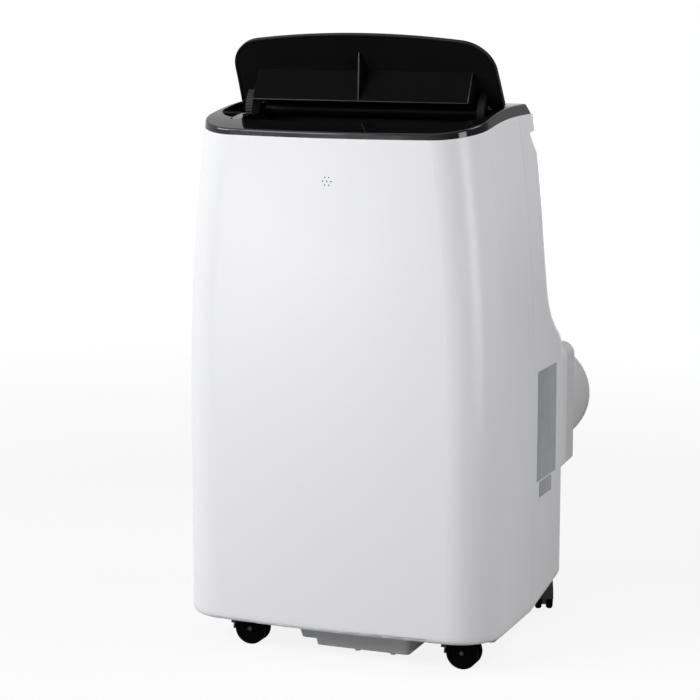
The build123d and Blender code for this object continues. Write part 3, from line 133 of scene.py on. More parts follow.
def moulding_group() -> bpy.types.NodeTree:
    """Spark-eroded mould grain with slow drifts of tone and haze.

    Returns:
        The group, with a scale input for each and Height, Tone and Haze outputs.
    """
    tree = bpy.data.node_groups.new("mould_grain", "ShaderNodeTree")
    sheet = Wiring(tree)
    for name in ("Grain Scale", "Drift Scale", "Haze Scale"):
        tree.interface.new_socket(name, in_out="INPUT", socket_type="NodeSocketFloat")
    for name in ("Height", "Tone", "Haze"):
        tree.interface.new_socket(name, in_out="OUTPUT", socket_type="NodeSocketFloat")
    start = sheet.add("NodeGroupInput", (-700, 0))
    end = sheet.add("NodeGroupOutput", (500, 0))
    place = sheet.add("ShaderNodeTexCoord", (-700, -250))
    grain = sheet.add("ShaderNodeTexNoise", (-400, 200), Detail=2.0, Roughness=0.6)
    cells = sheet.add("ShaderNodeTexVoronoi", (-400, -60))
    drift = sheet.add("ShaderNodeTexNoise", (-400, -320), Detail=2.0, Roughness=0.5)
    haze = sheet.add("ShaderNodeTexNoise", (-400, -560), Detail=5.0, Roughness=0.65, Distortion=0.4)
    both = sheet.math("MULTIPLY_ADD", (-150, 120))
    both.inputs[1].default_value = CELL_SHARE
    for texture in (grain, cells, drift, haze):
        sheet.join(place.outputs["Object"], texture.inputs["Vector"])
    sheet.join(start.outputs["Grain Scale"], grain.inputs["Scale"])
    sheet.join(start.outputs["Grain Scale"], cells.inputs["Scale"])
    sheet.join(start.outputs["Drift Scale"], drift.inputs["Scale"])
    sheet.join(start.outputs["Haze Scale"], haze.inputs["Scale"])
    sheet.join(cells.outputs["Distance"], both.inputs[0])
    sheet.join(grain.outputs["Fac"], both.inputs[2])
    sheet.join(both.outputs["Value"], end.inputs["Height"])
    sheet.join(drift.outputs["Fac"], end.inputs["Tone"])
    sheet.join(haze.outputs["Fac"], end.inputs["Haze"])
    return tree


def drawn_group() -> bpy.types.NodeTree:
    """Fine drawn lines along one axis, for rolled or brushed metal.

    Returns:
        The group, with a Stretch input and Lines and Tone outputs.
    """
    tree = bpy.data.node_groups.new("drawn_lines", "ShaderNodeTree")
    sheet = Wiring(tree)
    tree.interface.new_socket("Stretch", in_out="INPUT", socket_type="NodeSocketVector")
    for name in ("Lines", "Tone"):
        tree.interface.new_socket(name, in_out="OUTPUT", socket_type="NodeSocketFloat")
    start = sheet.add("NodeGroupInput", (-600, 0))
    end = sheet.add("NodeGroupOutput", (400, 0))
    place = sheet.add("ShaderNodeTexCoord", (-600, -200))
    scaled = sheet.math("MULTIPLY", (-380, 0), vector=True)
    lines = sheet.add("ShaderNodeTexNoise", (-150, 100), Scale=1.0, Detail=3.0)
    tone = sheet.add("ShaderNodeTexNoise", (-150, -200), Scale=9.0, Detail=4.0)
    sheet.join(place.outputs["Object"], scaled.inputs[0])
    sheet.join(start.outputs["Stretch"], scaled.inputs[1])
    sheet.join(scaled.outputs["Vector"], lines.inputs["Vector"])
    sheet.join(place.outputs["Object"], tone.inputs["Vector"])
    sheet.join(lines.outputs["Fac"], end.inputs["Lines"])
    sheet.join(tone.outputs["Fac"], end.inputs["Tone"])
    return tree


class Groups:
    """Shared surface effects, each built once."""

    mould: bpy.types.NodeTree = moulding_group()
    drawn: bpy.types.NodeTree = drawn_group()


def blank_material(name: str) -> tuple[bpy.types.Material, Wiring, bpy.types.Node]:
    """Starts a material with one surface shader.

    Args:
        name: the finish's name.

    Returns:
        The material, its wiring and its Principled shader.
    """
    material = bpy.data.materials.new(name)
    material.use_nodes = True
    shader = material.node_tree.nodes["Principled BSDF"]
    return material, Wiring(material.node_tree), shader


def between(sheet: Wiring, factor: bpy.types.NodeSocket, low: Colour, high: Colour) -> bpy.types.NodeSocket:
    """Colour that drifts between two tones.

    Args:
        sheet: the material's wiring.
        factor: output of a noise or wave texture.
        low: colour at the low end.
        high: colour at the high end.

    Returns:
        The colour output.
    """
    ramp = sheet.add("ShaderNodeValToRGB", (-350, 250))
    for element, position, colour in zip(ramp.color_ramp.elements, TEXTURE_REACH, (low, high)):
        element.position = position
        element.color = (*colour, 1.0)
    sheet.join(factor, ramp.inputs["Fac"])
    return ramp.outputs["Color"]


def mapped(sheet: Wiring, value: bpy.types.NodeSocket, reach: Pair, level: Pair) -> bpy.types.NodeSocket:
    """Level that changes evenly over a reach of values and stays inside its limits.

    Args:
        sheet: wiring of the material or the world.
        value: value that runs over the reach.
        reach: first and last value.
        level: level at the first and at the last value.

    Returns:
        The level output.
    """
    node = sheet.add("ShaderNodeMapRange", (-350, -50), From_Min=reach[0], From_Max=reach[1],
                     To_Min=level[0], To_Max=level[1])
    sheet.join(value, node.inputs["Value"])
    return node.outputs["Result"]


def raised(sheet: Wiring, height: bpy.types.NodeSocket, depth: float, shader: bpy.types.Node) -> None:
    """Lets a height texture bend the shader's normal.

    Args:
        sheet: the material's wiring.
        height: height output.
        depth: bump distance in metres.
        shader: surface shader that takes the normal.
    """
    bump = sheet.add("ShaderNodeBump", (-150, -350), Strength=BUMP_STRENGTH, Distance=depth)
    sheet.join(height, bump.inputs["Height"])
    sheet.join(bump.outputs["Normal"], shader.inputs["Normal"])


@dataclass(frozen=True)
class Moulded:
    """Moulded plastic or rubber: drifting tone, uneven polish and mould grain."""

    name: str
    low: Colour
    high: Colour
    polish: Pair
    grain_scale: float = 900.0
    grain_depth: float = 0.00004
    drift_scale: float = 4.0
    haze_scale: float = 18.0
    specular: float = 0.5
    coat: float = 0.0
    coat_roughness: float = 0.05

    def build(self) -> bpy.types.Material:
        """Makes the material.

        Returns:
            The finished material.
        """
        material, sheet, shader = blank_material(self.name)
        group = sheet.add("ShaderNodeGroup", (-650, 0))
        group.node_tree = Groups.mould
        group.inputs["Grain Scale"].default_value = self.grain_scale
        group.inputs["Drift Scale"].default_value = self.drift_scale
        group.inputs["Haze Scale"].default_value = self.haze_scale
        colour = between(sheet, group.outputs["Tone"], self.low, self.high)
        sheet.join(colour, shader.inputs["Base Color"])
        polish = mapped(sheet, group.outputs["Haze"], TEXTURE_REACH, self.polish)
        sheet.join(polish, shader.inputs["Roughness"])
        raised(sheet, group.outputs["Height"], self.grain_depth, shader)
        shader.inputs["Specular IOR Level"].default_value = self.specular
        shader.inputs["Coat Weight"].default_value = self.coat
        shader.inputs["Coat Roughness"].default_value = self.coat_roughness
        return material


@dataclass(frozen=True)
class PiercedPaintedShade(Moulded):
    """Moulded plastic with painted shade on the walls of its small sounder holes."""

    middle: Point = (0.0, -0.2577, 0.672)
    reach: float = 0.0085
    # Colour of the painted shade on the hole walls.
    shade: Colour = (0.004, 0.004, 0.004)
    facing: float = 0.6

    def build(self) -> bpy.types.Material:
        """Makes the material and paints shade on the walls of the holes.

        Returns:
            The finished material.
        """
        material = super().build()
        sheet = Wiring(material.node_tree)
        target = material.node_tree.nodes["Principled BSDF"].inputs["Base Color"]
        tone = target.links[0].from_socket
        # Painted shade: near the hole pattern's middle, faces that turn sideways take the dark colour.
        place = sheet.add("ShaderNodeTexCoord", (-1000, 700))
        away = sheet.math("DISTANCE", (-800, 800), vector=True)
        away.inputs[1].default_value = self.middle
        axes = sheet.add("ShaderNodeSeparateXYZ", (-800, 600))
        turned = sheet.math("ABSOLUTE", (-600, 600))
        near = sheet.math("LESS_THAN", (-600, 800))
        near.inputs[1].default_value = self.reach
        wall = sheet.math("LESS_THAN", (-450, 600))
        wall.inputs[1].default_value = self.facing
        both = sheet.math("MULTIPLY", (-300, 700))
        painted_hole_shade = sheet.add("ShaderNodeMix", (-150, 500))
        painted_hole_shade.data_type = "RGBA"
        sheet.join(place.outputs["Object"], away.inputs[0])
        sheet.join(place.outputs["Normal"], axes.inputs["Vector"])
        sheet.join(axes.outputs["Y"], turned.inputs[0])
        sheet.join(away.outputs["Value"], near.inputs[0])
        sheet.join(turned.outputs["Value"], wall.inputs[0])
        sheet.join(near.outputs["Value"], both.inputs[0])
        sheet.join(wall.outputs["Value"], both.inputs[1])
        sheet.join(both.outputs["Value"], painted_hole_shade.inputs[MIX_FACTOR])
        sheet.join(tone, painted_hole_shade.inputs[MIX_FIRST])
        painted_hole_shade.inputs[MIX_SECOND].default_value = (*self.shade, 1.0)
        sheet.join(painted_hole_shade.outputs[MIX_RESULT], target)
        return material


@dataclass(frozen=True)
class Drawn:
    """Bare or painted metal with fine drawn lines."""

    name: str
    low: Colour
    high: Colour
    polish: Pair
    stretch: Point = (30.0, 30.0, 900.0)
    metallic: float = 1.0
    line_depth: float = 0.00002

    def build(self) -> bpy.types.Material:
        """Makes the material.

        Returns:
            The finished material.
        """
        material, sheet, shader = blank_material(self.name)
        group = sheet.add("ShaderNodeGroup", (-650, 0))
        group.node_tree = Groups.drawn
        group.inputs["Stretch"].default_value = self.stretch
        colour = between(sheet, group.outputs["Tone"], self.low, self.high)
        sheet.join(colour, shader.inputs["Base Color"])
        polish = mapped(sheet, group.outputs["Lines"], TEXTURE_REACH, self.polish)
        sheet.join(polish, shader.inputs["Roughness"])
        raised(sheet, group.outputs["Lines"], self.line_depth, shader)
        shader.inputs["Metallic"].default_value = self.metallic
        return material


@dataclass(frozen=True)
class Banded:
    """Surface ruled with close bands along one axis: coil fins, net threads or board tracks; the gap tone is
    painted shade on the fins and the net, and the board's own colour on the board.
    """

    name: str
    band: Colour
    gap: Colour
    pitch: float
    axis: str
    polish: Pair
    metallic: float = 0.0
    depth: float = 0.0003
    crossed: bool = False

    def build(self) -> bpy.types.Material:
        """Makes the material.

        Returns:
            The finished material.
        """
        material, sheet, shader = blank_material(self.name)
        place = sheet.add("ShaderNodeTexCoord", (-1100, 0))
        height = self._bands(sheet, place, self.axis)
        if self.crossed:
            other = self._bands(sheet, place, "Z")
            both = sheet.math("MAXIMUM", (-550, -150))
            sheet.join(height, both.inputs[0])
            sheet.join(other, both.inputs[1])
            height = both.outputs["Value"]
        polish = mapped(sheet, height, TEXTURE_REACH, self.polish)
        sheet.join(between(sheet, height, self.gap, self.band), shader.inputs["Base Color"])
        sheet.join(polish, shader.inputs["Roughness"])
        raised(sheet, height, self.depth, shader)
        shader.inputs["Metallic"].default_value = self.metallic
        return material

    def _bands(self, sheet: Wiring, place: bpy.types.Node, axis: str) -> bpy.types.NodeSocket:
        """Wave of the band's pitch along one axis.

        Args:
            sheet: the material's wiring.
            place: texture coordinate node.
            axis: X, Y or Z.

        Returns:
            The wave's value output.
        """
        wave = sheet.add("ShaderNodeTexWave", (-850, 0), Scale=WAVE_LENGTH / self.pitch, Distortion=0.0)
        wave.bands_direction = axis
        sheet.join(place.outputs["Object"], wave.inputs["Vector"])
        return wave.outputs["Fac"]


class Finish(Enum):
    """Every finish on the air conditioner."""

    # The casing carries painted shade on the walls of its sounder holes.
    CASING = PiercedPaintedShade("casing_white", (0.822, 0.824, 0.845), (0.838, 0.840, 0.860), (0.30, 0.34),
                     grain_scale=600.0, grain_depth=0.000003, drift_scale=3.0, specular=0.45)
    FLOOR_PAN = Moulded("floor_pan_white", (0.77, 0.775, 0.785), (0.80, 0.805, 0.815), (0.38, 0.48),
                        grain_scale=1200.0, grain_depth=0.00002)
    DECK = Moulded("deck_gloss_black", (0.004, 0.004, 0.0045), (0.007, 0.007, 0.0078), (0.06, 0.10),
                   grain_scale=500.0, grain_depth=0.000001)
    LID = Moulded("lid_satin_black", (0.003, 0.003, 0.0034), (0.005, 0.005, 0.0056), (0.42, 0.5),
                  grain_scale=500.0, grain_depth=0.000002, specular=0.12)
    # Lighter tone of the liner's edge beads: a painted edge highlight on top of the real rounding.
    LID_EDGE = Moulded("lid_edge_painted_highlight", (0.020, 0.020, 0.021), (0.032, 0.032, 0.034), (0.32, 0.42),
                       grain_scale=900.0, grain_depth=0.000004)
    LINER = Moulded("lid_liner_black", (0.0045, 0.0045, 0.0047), (0.0062, 0.0062, 0.0065), (0.7, 0.85),
                    grain_scale=900.0, grain_depth=0.00001, specular=0.02)
    OUTLET = Moulded("outlet_matte_black", (0.0045, 0.0045, 0.0047), (0.0075, 0.0075, 0.0079), (0.5, 0.65),
                     grain_scale=900.0, grain_depth=0.00002, specular=0.06)
    GEAR = Moulded("gear_black", (0.012, 0.012, 0.013), (0.024, 0.024, 0.026), (0.28, 0.40),
                   grain_scale=2200.0, grain_depth=0.00001, specular=0.4)
    PINION = Moulded("pinion_acetal", (0.60, 0.59, 0.55), (0.70, 0.69, 0.65), (0.35, 0.45))
    PANEL = Moulded("panel_mirror_black", (0.006, 0.006, 0.007), (0.010, 0.010, 0.011), (0.04, 0.08),
                    grain_scale=300.0, grain_depth=0.000002, coat=0.5)
    BUTTON = Moulded("button_satin_black", (0.018, 0.018, 0.020), (0.028, 0.028, 0.031), (0.30, 0.38),
                     grain_scale=2000.0, grain_depth=0.00001)
    INK = Moulded("sign_ink_white", (0.70, 0.71, 0.73), (0.80, 0.81, 0.83), (0.45, 0.55), grain_scale=3000.0)
    SUMP = Moulded("sump_grey", (0.80, 0.80, 0.81), (0.84, 0.84, 0.85), (0.45, 0.6), grain_scale=700.0,
                   grain_depth=0.00001)
    ADAPTER = Moulded("adapter_grey_white", (0.66, 0.66, 0.67), (0.73, 0.73, 0.74), (0.36, 0.48),
                      grain_scale=1100.0, grain_depth=0.00002)
    CASTER = Moulded("caster_black", (0.0012, 0.0012, 0.0012), (0.0026, 0.0026, 0.0026), (0.65, 0.8),
                     grain_scale=1500.0, grain_depth=0.00003, specular=0.02)
    TREAD = Moulded("tread_black", (0.0014, 0.0014, 0.0014), (0.003, 0.003, 0.003), (0.7, 0.85),
                    grain_scale=1800.0, grain_depth=0.00005, specular=0.02)
    INNER = Moulded("inner_grey", (0.42, 0.42, 0.43), (0.54, 0.54, 0.55), (0.55, 0.7), grain_scale=600.0)
    FAN = Moulded("fan_black", (0.02, 0.02, 0.022), (0.04, 0.04, 0.043), (0.4, 0.55))
    RUBBER = Moulded("rubber_black", (0.012, 0.012, 0.012), (0.024, 0.024, 0.024), (0.6, 0.75),
                     grain_scale=1300.0, grain_depth=0.00006, specular=0.3)
    FITTING = Moulded("fitting_black", (0.012, 0.012, 0.013), (0.022, 0.022, 0.024), (0.4, 0.5))
    FILM = Moulded("bare_plate_film", (0.34, 0.35, 0.36), (0.39, 0.40, 0.41), (0.32, 0.42),
                   grain_scale=1800.0, grain_depth=0.000008, drift_scale=30.0)
    VESSEL = Moulded("vessel_black_paint", (0.010, 0.010, 0.010), (0.022, 0.022, 0.022), (0.30, 0.42),
                     grain_scale=350.0, grain_depth=0.00006)
    MOTOR = Drawn("motor_can_zinc", (0.42, 0.42, 0.43), (0.55, 0.55, 0.56), (0.32, 0.48), metallic=0.9)
    SCREW = Drawn("screw_zinc", (0.55, 0.55, 0.56), (0.68, 0.68, 0.70), (0.25, 0.42), (400.0, 90.0, 400.0))
    COPPER = Drawn("pipe_copper", (0.60, 0.27, 0.14), (0.78, 0.40, 0.24), (0.28, 0.46), (60.0, 60.0, 500.0))
    SHEET = Drawn("galvanised_sheet", (0.46, 0.47, 0.48), (0.62, 0.63, 0.64), (0.36, 0.5), (25.0, 25.0, 25.0))
    # The dark gap tone of the coil fins and of the filter net is painted shade between fins and between
    # threads.
    FINS = Banded("coil_fins", (0.78, 0.79, 0.80), (0.16, 0.16, 0.17), 0.0018, "X", (0.5, 0.32), 0.9)
    NET = Banded("filter_net", (0.20, 0.21, 0.23), (0.04, 0.04, 0.045), 0.0016, "X", (0.8, 0.6), crossed=True)
    BOARD = Banded("board_green", (0.03, 0.20, 0.08), (0.012, 0.09, 0.035), 0.004, "X", (0.4, 0.3),
                   depth=0.0001, crossed=True)

    def material(self) -> bpy.types.Material:
        """Material of this finish, built on first use.

        Returns:
            The material.
        """
        return bpy.data.materials.get(self.value.name) or self.value.build()


def coat_piece(piece: bpy.types.Object, finish: Finish) -> None:
    """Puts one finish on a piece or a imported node.

    Args:
        piece: object to dress.
        finish: its finish.
    """
    if not piece.material_slots:
        piece.data.materials.append(finish.material())
    for slot in piece.material_slots:
        slot.material = finish.material()


def coat_nodes(finish: Finish, names: Iterable[str]) -> None:
    """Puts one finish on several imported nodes.

    Args:
        finish: their finish.
        names: node names.
    """
    for name in names:
        coat_piece(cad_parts[name], finish)


def deselect() -> None:
    """Leaves edit mode and selects nothing."""
    if bpy.context.object and bpy.context.object.mode != "OBJECT":
        bpy.ops.object.mode_set(mode="OBJECT")
    bpy.ops.object.select_all(action="DESELECT")


def settle(name: str) -> bpy.types.Object:
    """Names the active object and puts its place into its mesh.

    Args:
        name: piece name.

    Returns:
        The object.
    """
    piece = bpy.context.object
    piece.name = name
    bpy.ops.object.transform_apply(location=True, rotation=True, scale=True)
    return piece


def pick_faces(piece: bpy.types.Object, test: Callable[[bmesh.types.BMFace], bool]) -> None:
    """Selects the faces that pass a test, in edit mode.

    Args:
        piece: object in edit mode.
        test: true for the faces to select.
    """
    mesh = bmesh.from_edit_mesh(piece.data)
    bpy.ops.mesh.select_mode(type="FACE")
    bpy.ops.mesh.select_all(action="DESELECT")
    for face in mesh.faces:
        face.select_set(test(face))
    mesh.select_flush_mode()
    bmesh.update_edit_mesh(piece.data)


def finish_piece(piece: bpy.types.Object, body: str, finish: Finish, smooth: float = 40.0) -> None:
    """Shades a piece, dresses it and ties it to its body.

    Args:
        piece: finished mesh object.
        body: name of the body it rides on.
        finish: its finish.
        smooth: angle under which edges look round, in degrees.
    """
    deselect()
    piece.select_set(True)
    bpy.context.view_layer.objects.active = piece
    bpy.ops.object.shade_smooth_by_angle(angle=radians(smooth))
    coat_piece(piece, finish)
    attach(piece, body)
    LOG.info("piece %s rides on %s", piece.name, body)


def soft_block(name: str, low: Point, high: Point, edge: float) -> bpy.types.Object:
    """Block with rounded edges between two corners.

    Args:
        name: piece name.
        low: lowest corner.
        high: highest corner.
        edge: edge radius.

    Returns:
        The block.
    """
    deselect()
    a, b = Vector(low), Vector(high)
    bpy.ops.mesh.primitive_cube_add(size=1.0, location=(a + b) / 2)
    bpy.context.object.scale = b - a
    piece = settle(name)
    bpy.ops.object.mode_set(mode="EDIT")
    bpy.ops.mesh.select_all(action="SELECT")
    bpy.ops.mesh.bevel(offset=edge, segments=EDGE_STEPS, affect="EDGES")
    bpy.ops.object.mode_set(mode="OBJECT")
    return piece


@dataclass
class Cabinet:
    """Casing, floor pan and the bare plates and screws on them."""

    plate_low: Point = (0.2332, -0.040, 0.230)
    plate_high: Point = (0.2338, 0.051, 0.390)
    strip_low: Point = (0.2332, -0.028, 0.205)
    strip_high: Point = (0.2338, 0.031, 0.228)
    plate_edge: float = 0.0001
    plate_lean_from: float = 0.340
    plate_lean: float = 0.0005
    screw_recess: float = 0.0011
    screw_slot: float = 0.0008
    screw_reach: float = 0.0022
    slot_edge: float = 0.0002
    head_skin: float = 0.0001
    head_apart: float = 0.02
    merge_gap: float = 0.00001

    def build(self) -> None:
        """Dresses the casing and adds its trim."""
        coat_nodes(Finish.CASING, ("front_shell", "rear_shell", "intake_grille", "condenser_grille"))
        coat_nodes(Finish.FLOOR_PAN, ("base_tray",))
        coat_nodes(Finish.SUMP, ("base_sump",))
        self.bare_plate("bare_side_plate", self.plate_low, self.plate_high)
        self.bare_plate("bare_side_strip", self.strip_low, self.strip_high)
        self.screws()

    def bare_plate(self, name: str, low: Point, high: Point) -> None:
        """Thin blank film on the right side, which leans in with the casing above a height.

        Args:
            name: piece name.
            low: lowest corner.
            high: highest corner.
        """
        plate = soft_block(name, low, high, self.plate_edge)
        bpy.ops.object.mode_set(mode="EDIT")
        bpy.ops.mesh.select_all(action="SELECT")
        bpy.ops.mesh.bisect(plane_co=(0, 0, self.plate_lean_from), plane_no=(0, 0, 1))
        mesh = bmesh.from_edit_mesh(plate.data)
        bpy.ops.mesh.select_all(action="DESELECT")
        bpy.ops.mesh.select_mode(type="VERT")
        for vertex in mesh.verts:
            vertex.select_set(vertex.co.z > self.plate_lean_from + self.plate_edge)
        mesh.select_flush_mode()
        if any(vertex.select for vertex in mesh.verts):
            bpy.ops.transform.translate(value=(-self.plate_lean, 0, 0))
        bpy.ops.object.mode_set(mode="OBJECT")
        finish_piece(plate, Body.CABINET.value, Finish.FILM)

    def screws(self) -> None:
        """Cross-recessed screws that stand for the plain imported ones."""
        low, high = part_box("shell_screws")
        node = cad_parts["shell_screws"]
        deselect()
        node.select_set(True)
        bpy.context.view_layer.objects.active = node
        bpy.ops.object.duplicate()
        screws = bpy.context.object
        screws.name = "casing_screws"
        bpy.ops.object.mode_set(mode="EDIT")
        bpy.ops.mesh.select_all(action="SELECT")
        bpy.ops.mesh.remove_doubles(threshold=self.merge_gap)
        bpy.ops.object.mode_set(mode="OBJECT")
        for x, z in self.screw_heads(screws, high.y):
            for size in ((self.screw_reach, self.screw_slot), (self.screw_slot, self.screw_reach)):
                self.cut_slot(screws, (x, high.y, z), size)
        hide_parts("shell_screws")
        finish_piece(screws, Body.CABINET.value, Finish.SCREW)

    def screw_heads(self, screws: bpy.types.Object, face_y: float) -> list[Pair]:
        """Centres of the screw heads on the rear face.

        Args:
            screws: joined screws.
            face_y: outermost face.

        Returns:
            Centres as (x, z).
        """
        heads: list[list[Vector]] = []
        for vertex in screws.data.vertices:
            if abs(vertex.co.y - face_y) > self.head_skin:
                continue
            near = [group for group in heads if (group[0] - vertex.co).length < self.head_apart]
            if near:
                near[0].append(vertex.co.copy())
            else:
                heads.append([vertex.co.copy()])
        return [
            (sum(point.x for point in group) / len(group), sum(point.z for point in group) / len(group))
            for group in heads
        ]

    def cut_slot(self, screws: bpy.types.Object, place: Point, size: Pair) -> None:
        """Cuts one bar of the cross recess.

        Args:
            screws: joined screws.
            place: centre of the head's face.
            size: half lengths along X and Z.
        """
        x, y, z = place
        low = (x - size[0], y - self.screw_recess, z - size[1])
        high = (x + size[0], y + self.screw_recess, z + size[1])
        cutter = soft_block("slot_cutter", low, high, self.slot_edge)
        cut = screws.modifiers.new("slot", "BOOLEAN")
        cut.operation = "DIFFERENCE"
        cut.object = cutter
        deselect()
        screws.select_set(True)
        bpy.context.view_layer.objects.active = screws
        bpy.ops.object.modifier_apply(modifier="slot")
        bpy.data.objects.remove(cutter)


@dataclass
class TopDeck:
    """Black deck, air outlet with vanes, and the tilting lid."""

    vane_count: int = 6
    wedge_half: float = 0.160
    wedge_low: Pair = (-0.14451, 0.77346)
    wedge_high: Pair = (-0.12482, 0.81432)
    fin_high: Pair = (-0.14157, 0.84043)
    bead_radius: float = 0.0006
    fin_radius: float = 0.0010
    bead_sides: int = 20
    end_facing: float = 0.9
    end_round: float = 0.7
    bead_smooth: float = 50.0

    def build(self) -> None:
        """Dresses the deck, the outlet and the lid, and rounds the wedge's free edges with beads whose
        lighter tone is a painted edge highlight.
        """
        coat_nodes(Finish.DECK, ("top_deck",))
        coat_nodes(Finish.LID, ("lid_cover", "lid_guide"))
        coat_nodes(Finish.LINER, ("lid_liner",))
        coat_nodes(Finish.GEAR, ("lid_gear",))
        coat_nodes(Finish.PINION, ("lid_pinion",))
        coat_nodes(Finish.OUTLET, ("outlet_duct", "vane_link"))
        coat_nodes(Finish.OUTLET, (f"vane_{index}" for index in range(1, self.vane_count + 1)))
        half = self.wedge_half
        low, high = self.wedge_low, self.wedge_high
        self.bead("wedge_lip", (-half, *low), (half, *low), self.bead_radius)
        self.bead("wedge_end", (half, *low), (half, *high), self.bead_radius)
        self.bead("fin_nose", (0.0, *low), (0.0, *self.fin_high), self.fin_radius)

    def bead(self, name: str, start: Point, end: Point, radius: float) -> None:
        """Round bead along one free edge of the lid's liner; its rounding catches real light and its lighter
        tone is a painted highlight.

        Args:
            name: piece name.
            start: one end of the edge.
            end: other end of the edge.
            radius: bead radius.
        """
        deselect()
        a, b = Vector(start), Vector(end)
        bpy.ops.mesh.primitive_cylinder_add(
            vertices=self.bead_sides, radius=radius, depth=(b - a).length, location=(a + b) / 2,
            rotation=(b - a).to_track_quat("Z", "Y").to_euler(),
        )
        piece = settle(name)
        axis = (b - a).normalized()
        bpy.ops.object.mode_set(mode="EDIT")
        pick_faces(piece, lambda face: abs(face.normal.dot(axis)) > self.end_facing)
        bpy.ops.mesh.bevel(offset=radius * self.end_round, segments=EDGE_STEPS, affect="EDGES")
        bpy.ops.object.mode_set(mode="OBJECT")
        finish_piece(piece, Body.LID.value, Finish.LID_EDGE, self.bead_smooth)


@dataclass
class Controls:
    """Gloss panel with its display window and signed push buttons."""

    marks: tuple[Mark, ...] = (Mark.RING, Mark.CROSS, Mark.BAR, Mark.WAVES, Mark.DOTS)
    sign_height: float = 0.00012
    sign_half: float = 0.0026
    sign_line: float = 0.0006
    sign_edge: float = 0.00004
    wave_gap: float = 0.7
    dot_gap: float = 0.8
    ring_sides: int = 40
    window_half: float = 0.0305
    window_low: float = -0.0508
    window_high: float = -0.0332
    window_floor: float = 0.7670
    window_top: float = 0.7674

    def build(self) -> None:
        """Dresses the panel and adds the window and the signs."""
        coat_nodes(Finish.PANEL, ("control_panel",))
        coat_nodes(Finish.BOARD, ("control_board",))
        coat_nodes(Finish.FITTING, ("sounder",))
        window = soft_block(
            "display_window",
            (-self.window_half, self.window_low, self.window_floor),
            (self.window_half, self.window_high, self.window_top),
            self.sign_height,
        )
        finish_piece(window, Body.CABINET.value, Finish.PANEL)
        for index, mark in enumerate(self.marks, start=1):
            coat_nodes(Finish.BUTTON, (f"button_{index}",))
            self.sign(index, mark)

    def sign(self, index: int, mark: Mark) -> None:
        """Printed sign on one button.

        Args:
            index: number of the button.
            mark: which generic sign it carries.
        """
        low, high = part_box(f"button_{index}")
        centre = Vector(((low.x + high.x) / 2, (low.y + high.y) / 2, high.z))
        half, line = self.sign_half, self.sign_line
        if mark is Mark.RING:
            piece = self.ring(f"sign_{index}", centre)
        elif mark is Mark.CROSS:
            piece = self.bars(f"sign_{index}", centre, [(0, 0, half, line / 2), (0, 0, line / 2, half)])
        elif mark is Mark.BAR:
            piece = self.bars(f"sign_{index}", centre, [(0, 0, half, line / 2)])
        elif mark is Mark.WAVES:
            rows = [(0, shift * half * self.wave_gap, half, line / 2) for shift in (-1, 0, 1)]
            piece = self.bars(f"sign_{index}", centre, rows)
        else:
            dots = [(shift * half * self.dot_gap, 0, line, line) for shift in (-1, 0, 1)]
            piece = self.bars(f"sign_{index}", centre, dots)
        finish_piece(piece, f"button_{index}", Finish.INK)

    def ring(self, name: str, centre: Vector) -> bpy.types.Object:
        """Ring sign, inset from a disc and given a height.

        Args:
            name: piece name.
            centre: middle of the button's top.

        Returns:
            The ring.
        """
        deselect()
        bpy.ops.mesh.primitive_circle_add(
            vertices=self.ring_sides, radius=self.sign_half, fill_type="NGON", location=centre
        )
        piece = settle(name)
        bpy.ops.object.mode_set(mode="EDIT")
        bpy.ops.mesh.select_all(action="SELECT")
        bpy.ops.mesh.inset(thickness=self.sign_line)
        bpy.ops.mesh.delete(type="FACE")
        bpy.ops.mesh.select_all(action="SELECT")
        bpy.ops.mesh.extrude_region_move(TRANSFORM_OT_translate={"value": (0, 0, self.sign_height)})
        bpy.ops.mesh.select_all(action="SELECT")
        bpy.ops.mesh.normals_make_consistent(inside=False)
        bpy.ops.object.mode_set(mode="OBJECT")
        return piece

    def bars(
        self, name: str, centre: Vector, rows: list[tuple[float, float, float, float]]
    ) -> bpy.types.Object:
        """Sign made of short rounded bars.

        Args:
            name: piece name.
            centre: middle of the button's top.
            rows: shift x, shift y, half length x and half length y of each bar.

        Returns:
            The joined bars.
        """
        parts = []
        for x, y, half_x, half_y in rows:
            low = (centre.x + x - half_x, centre.y + y - half_y, centre.z)
            high = (centre.x + x + half_x, centre.y + y + half_y, centre.z + self.sign_height)
            parts.append(soft_block(name, low, high, self.sign_edge))
        deselect()
        for part in parts:
            part.select_set(True)
        bpy.context.view_layer.objects.active = parts[0]
        if len(parts) > 1:
            bpy.ops.object.join()
        parts[0].name = name
        return parts[0]


@dataclass
class RunningGear:
    """Swivel casters at the four corners."""

    corners: tuple[str, ...] = ("front_left", "front_right", "rear_left", "rear_right")

    def build(self) -> None:
        """Dresses the forks and the wheels."""
        for corner in self.corners:
            coat_nodes(Finish.CASTER, (f"caster_fork_{corner}",))
            coat_nodes(Finish.TREAD, (f"caster_wheels_{corner}",))


@dataclass
class InnerWorks:
    """Cooling circuit, blowers and wiring behind the grilles, and the rear fittings."""

    def build(self) -> None:
        """Dresses everything inside and at the back."""
        coat_nodes(Finish.ADAPTER, ("hose_adapter",))
        coat_nodes(Finish.FITTING, ("cord_gland",))
        coat_nodes(Finish.RUBBER, ("drain_plug_upper", "drain_plug_lower", "compressor_feet"))
        coat_nodes(Finish.NET, ("filter_mesh",))
        coat_nodes(Finish.FINS, ("evaporator", "condenser"))
        coat_nodes(Finish.VESSEL, ("compressor", "accumulator"))
        coat_nodes(Finish.COPPER, ("suction_pipe", "discharge_pipe"))
        coat_nodes(Finish.INNER, ("partition", "upper_scroll", "lower_scroll"))
        coat_nodes(Finish.FAN, ("upper_wheel", "lower_wheel"))
        coat_nodes(Finish.MOTOR, ("upper_fan_motor", "lower_fan_motor", "lid_motor"))
        coat_nodes(Finish.SHEET, ("electrical_box",))


@dataclass(frozen=True)
class Lamp:
    """Soft rectangular lamp, turned to a point."""

    name: str
    place: Point
    aim: Point
    width: float
    height: float
    power: float


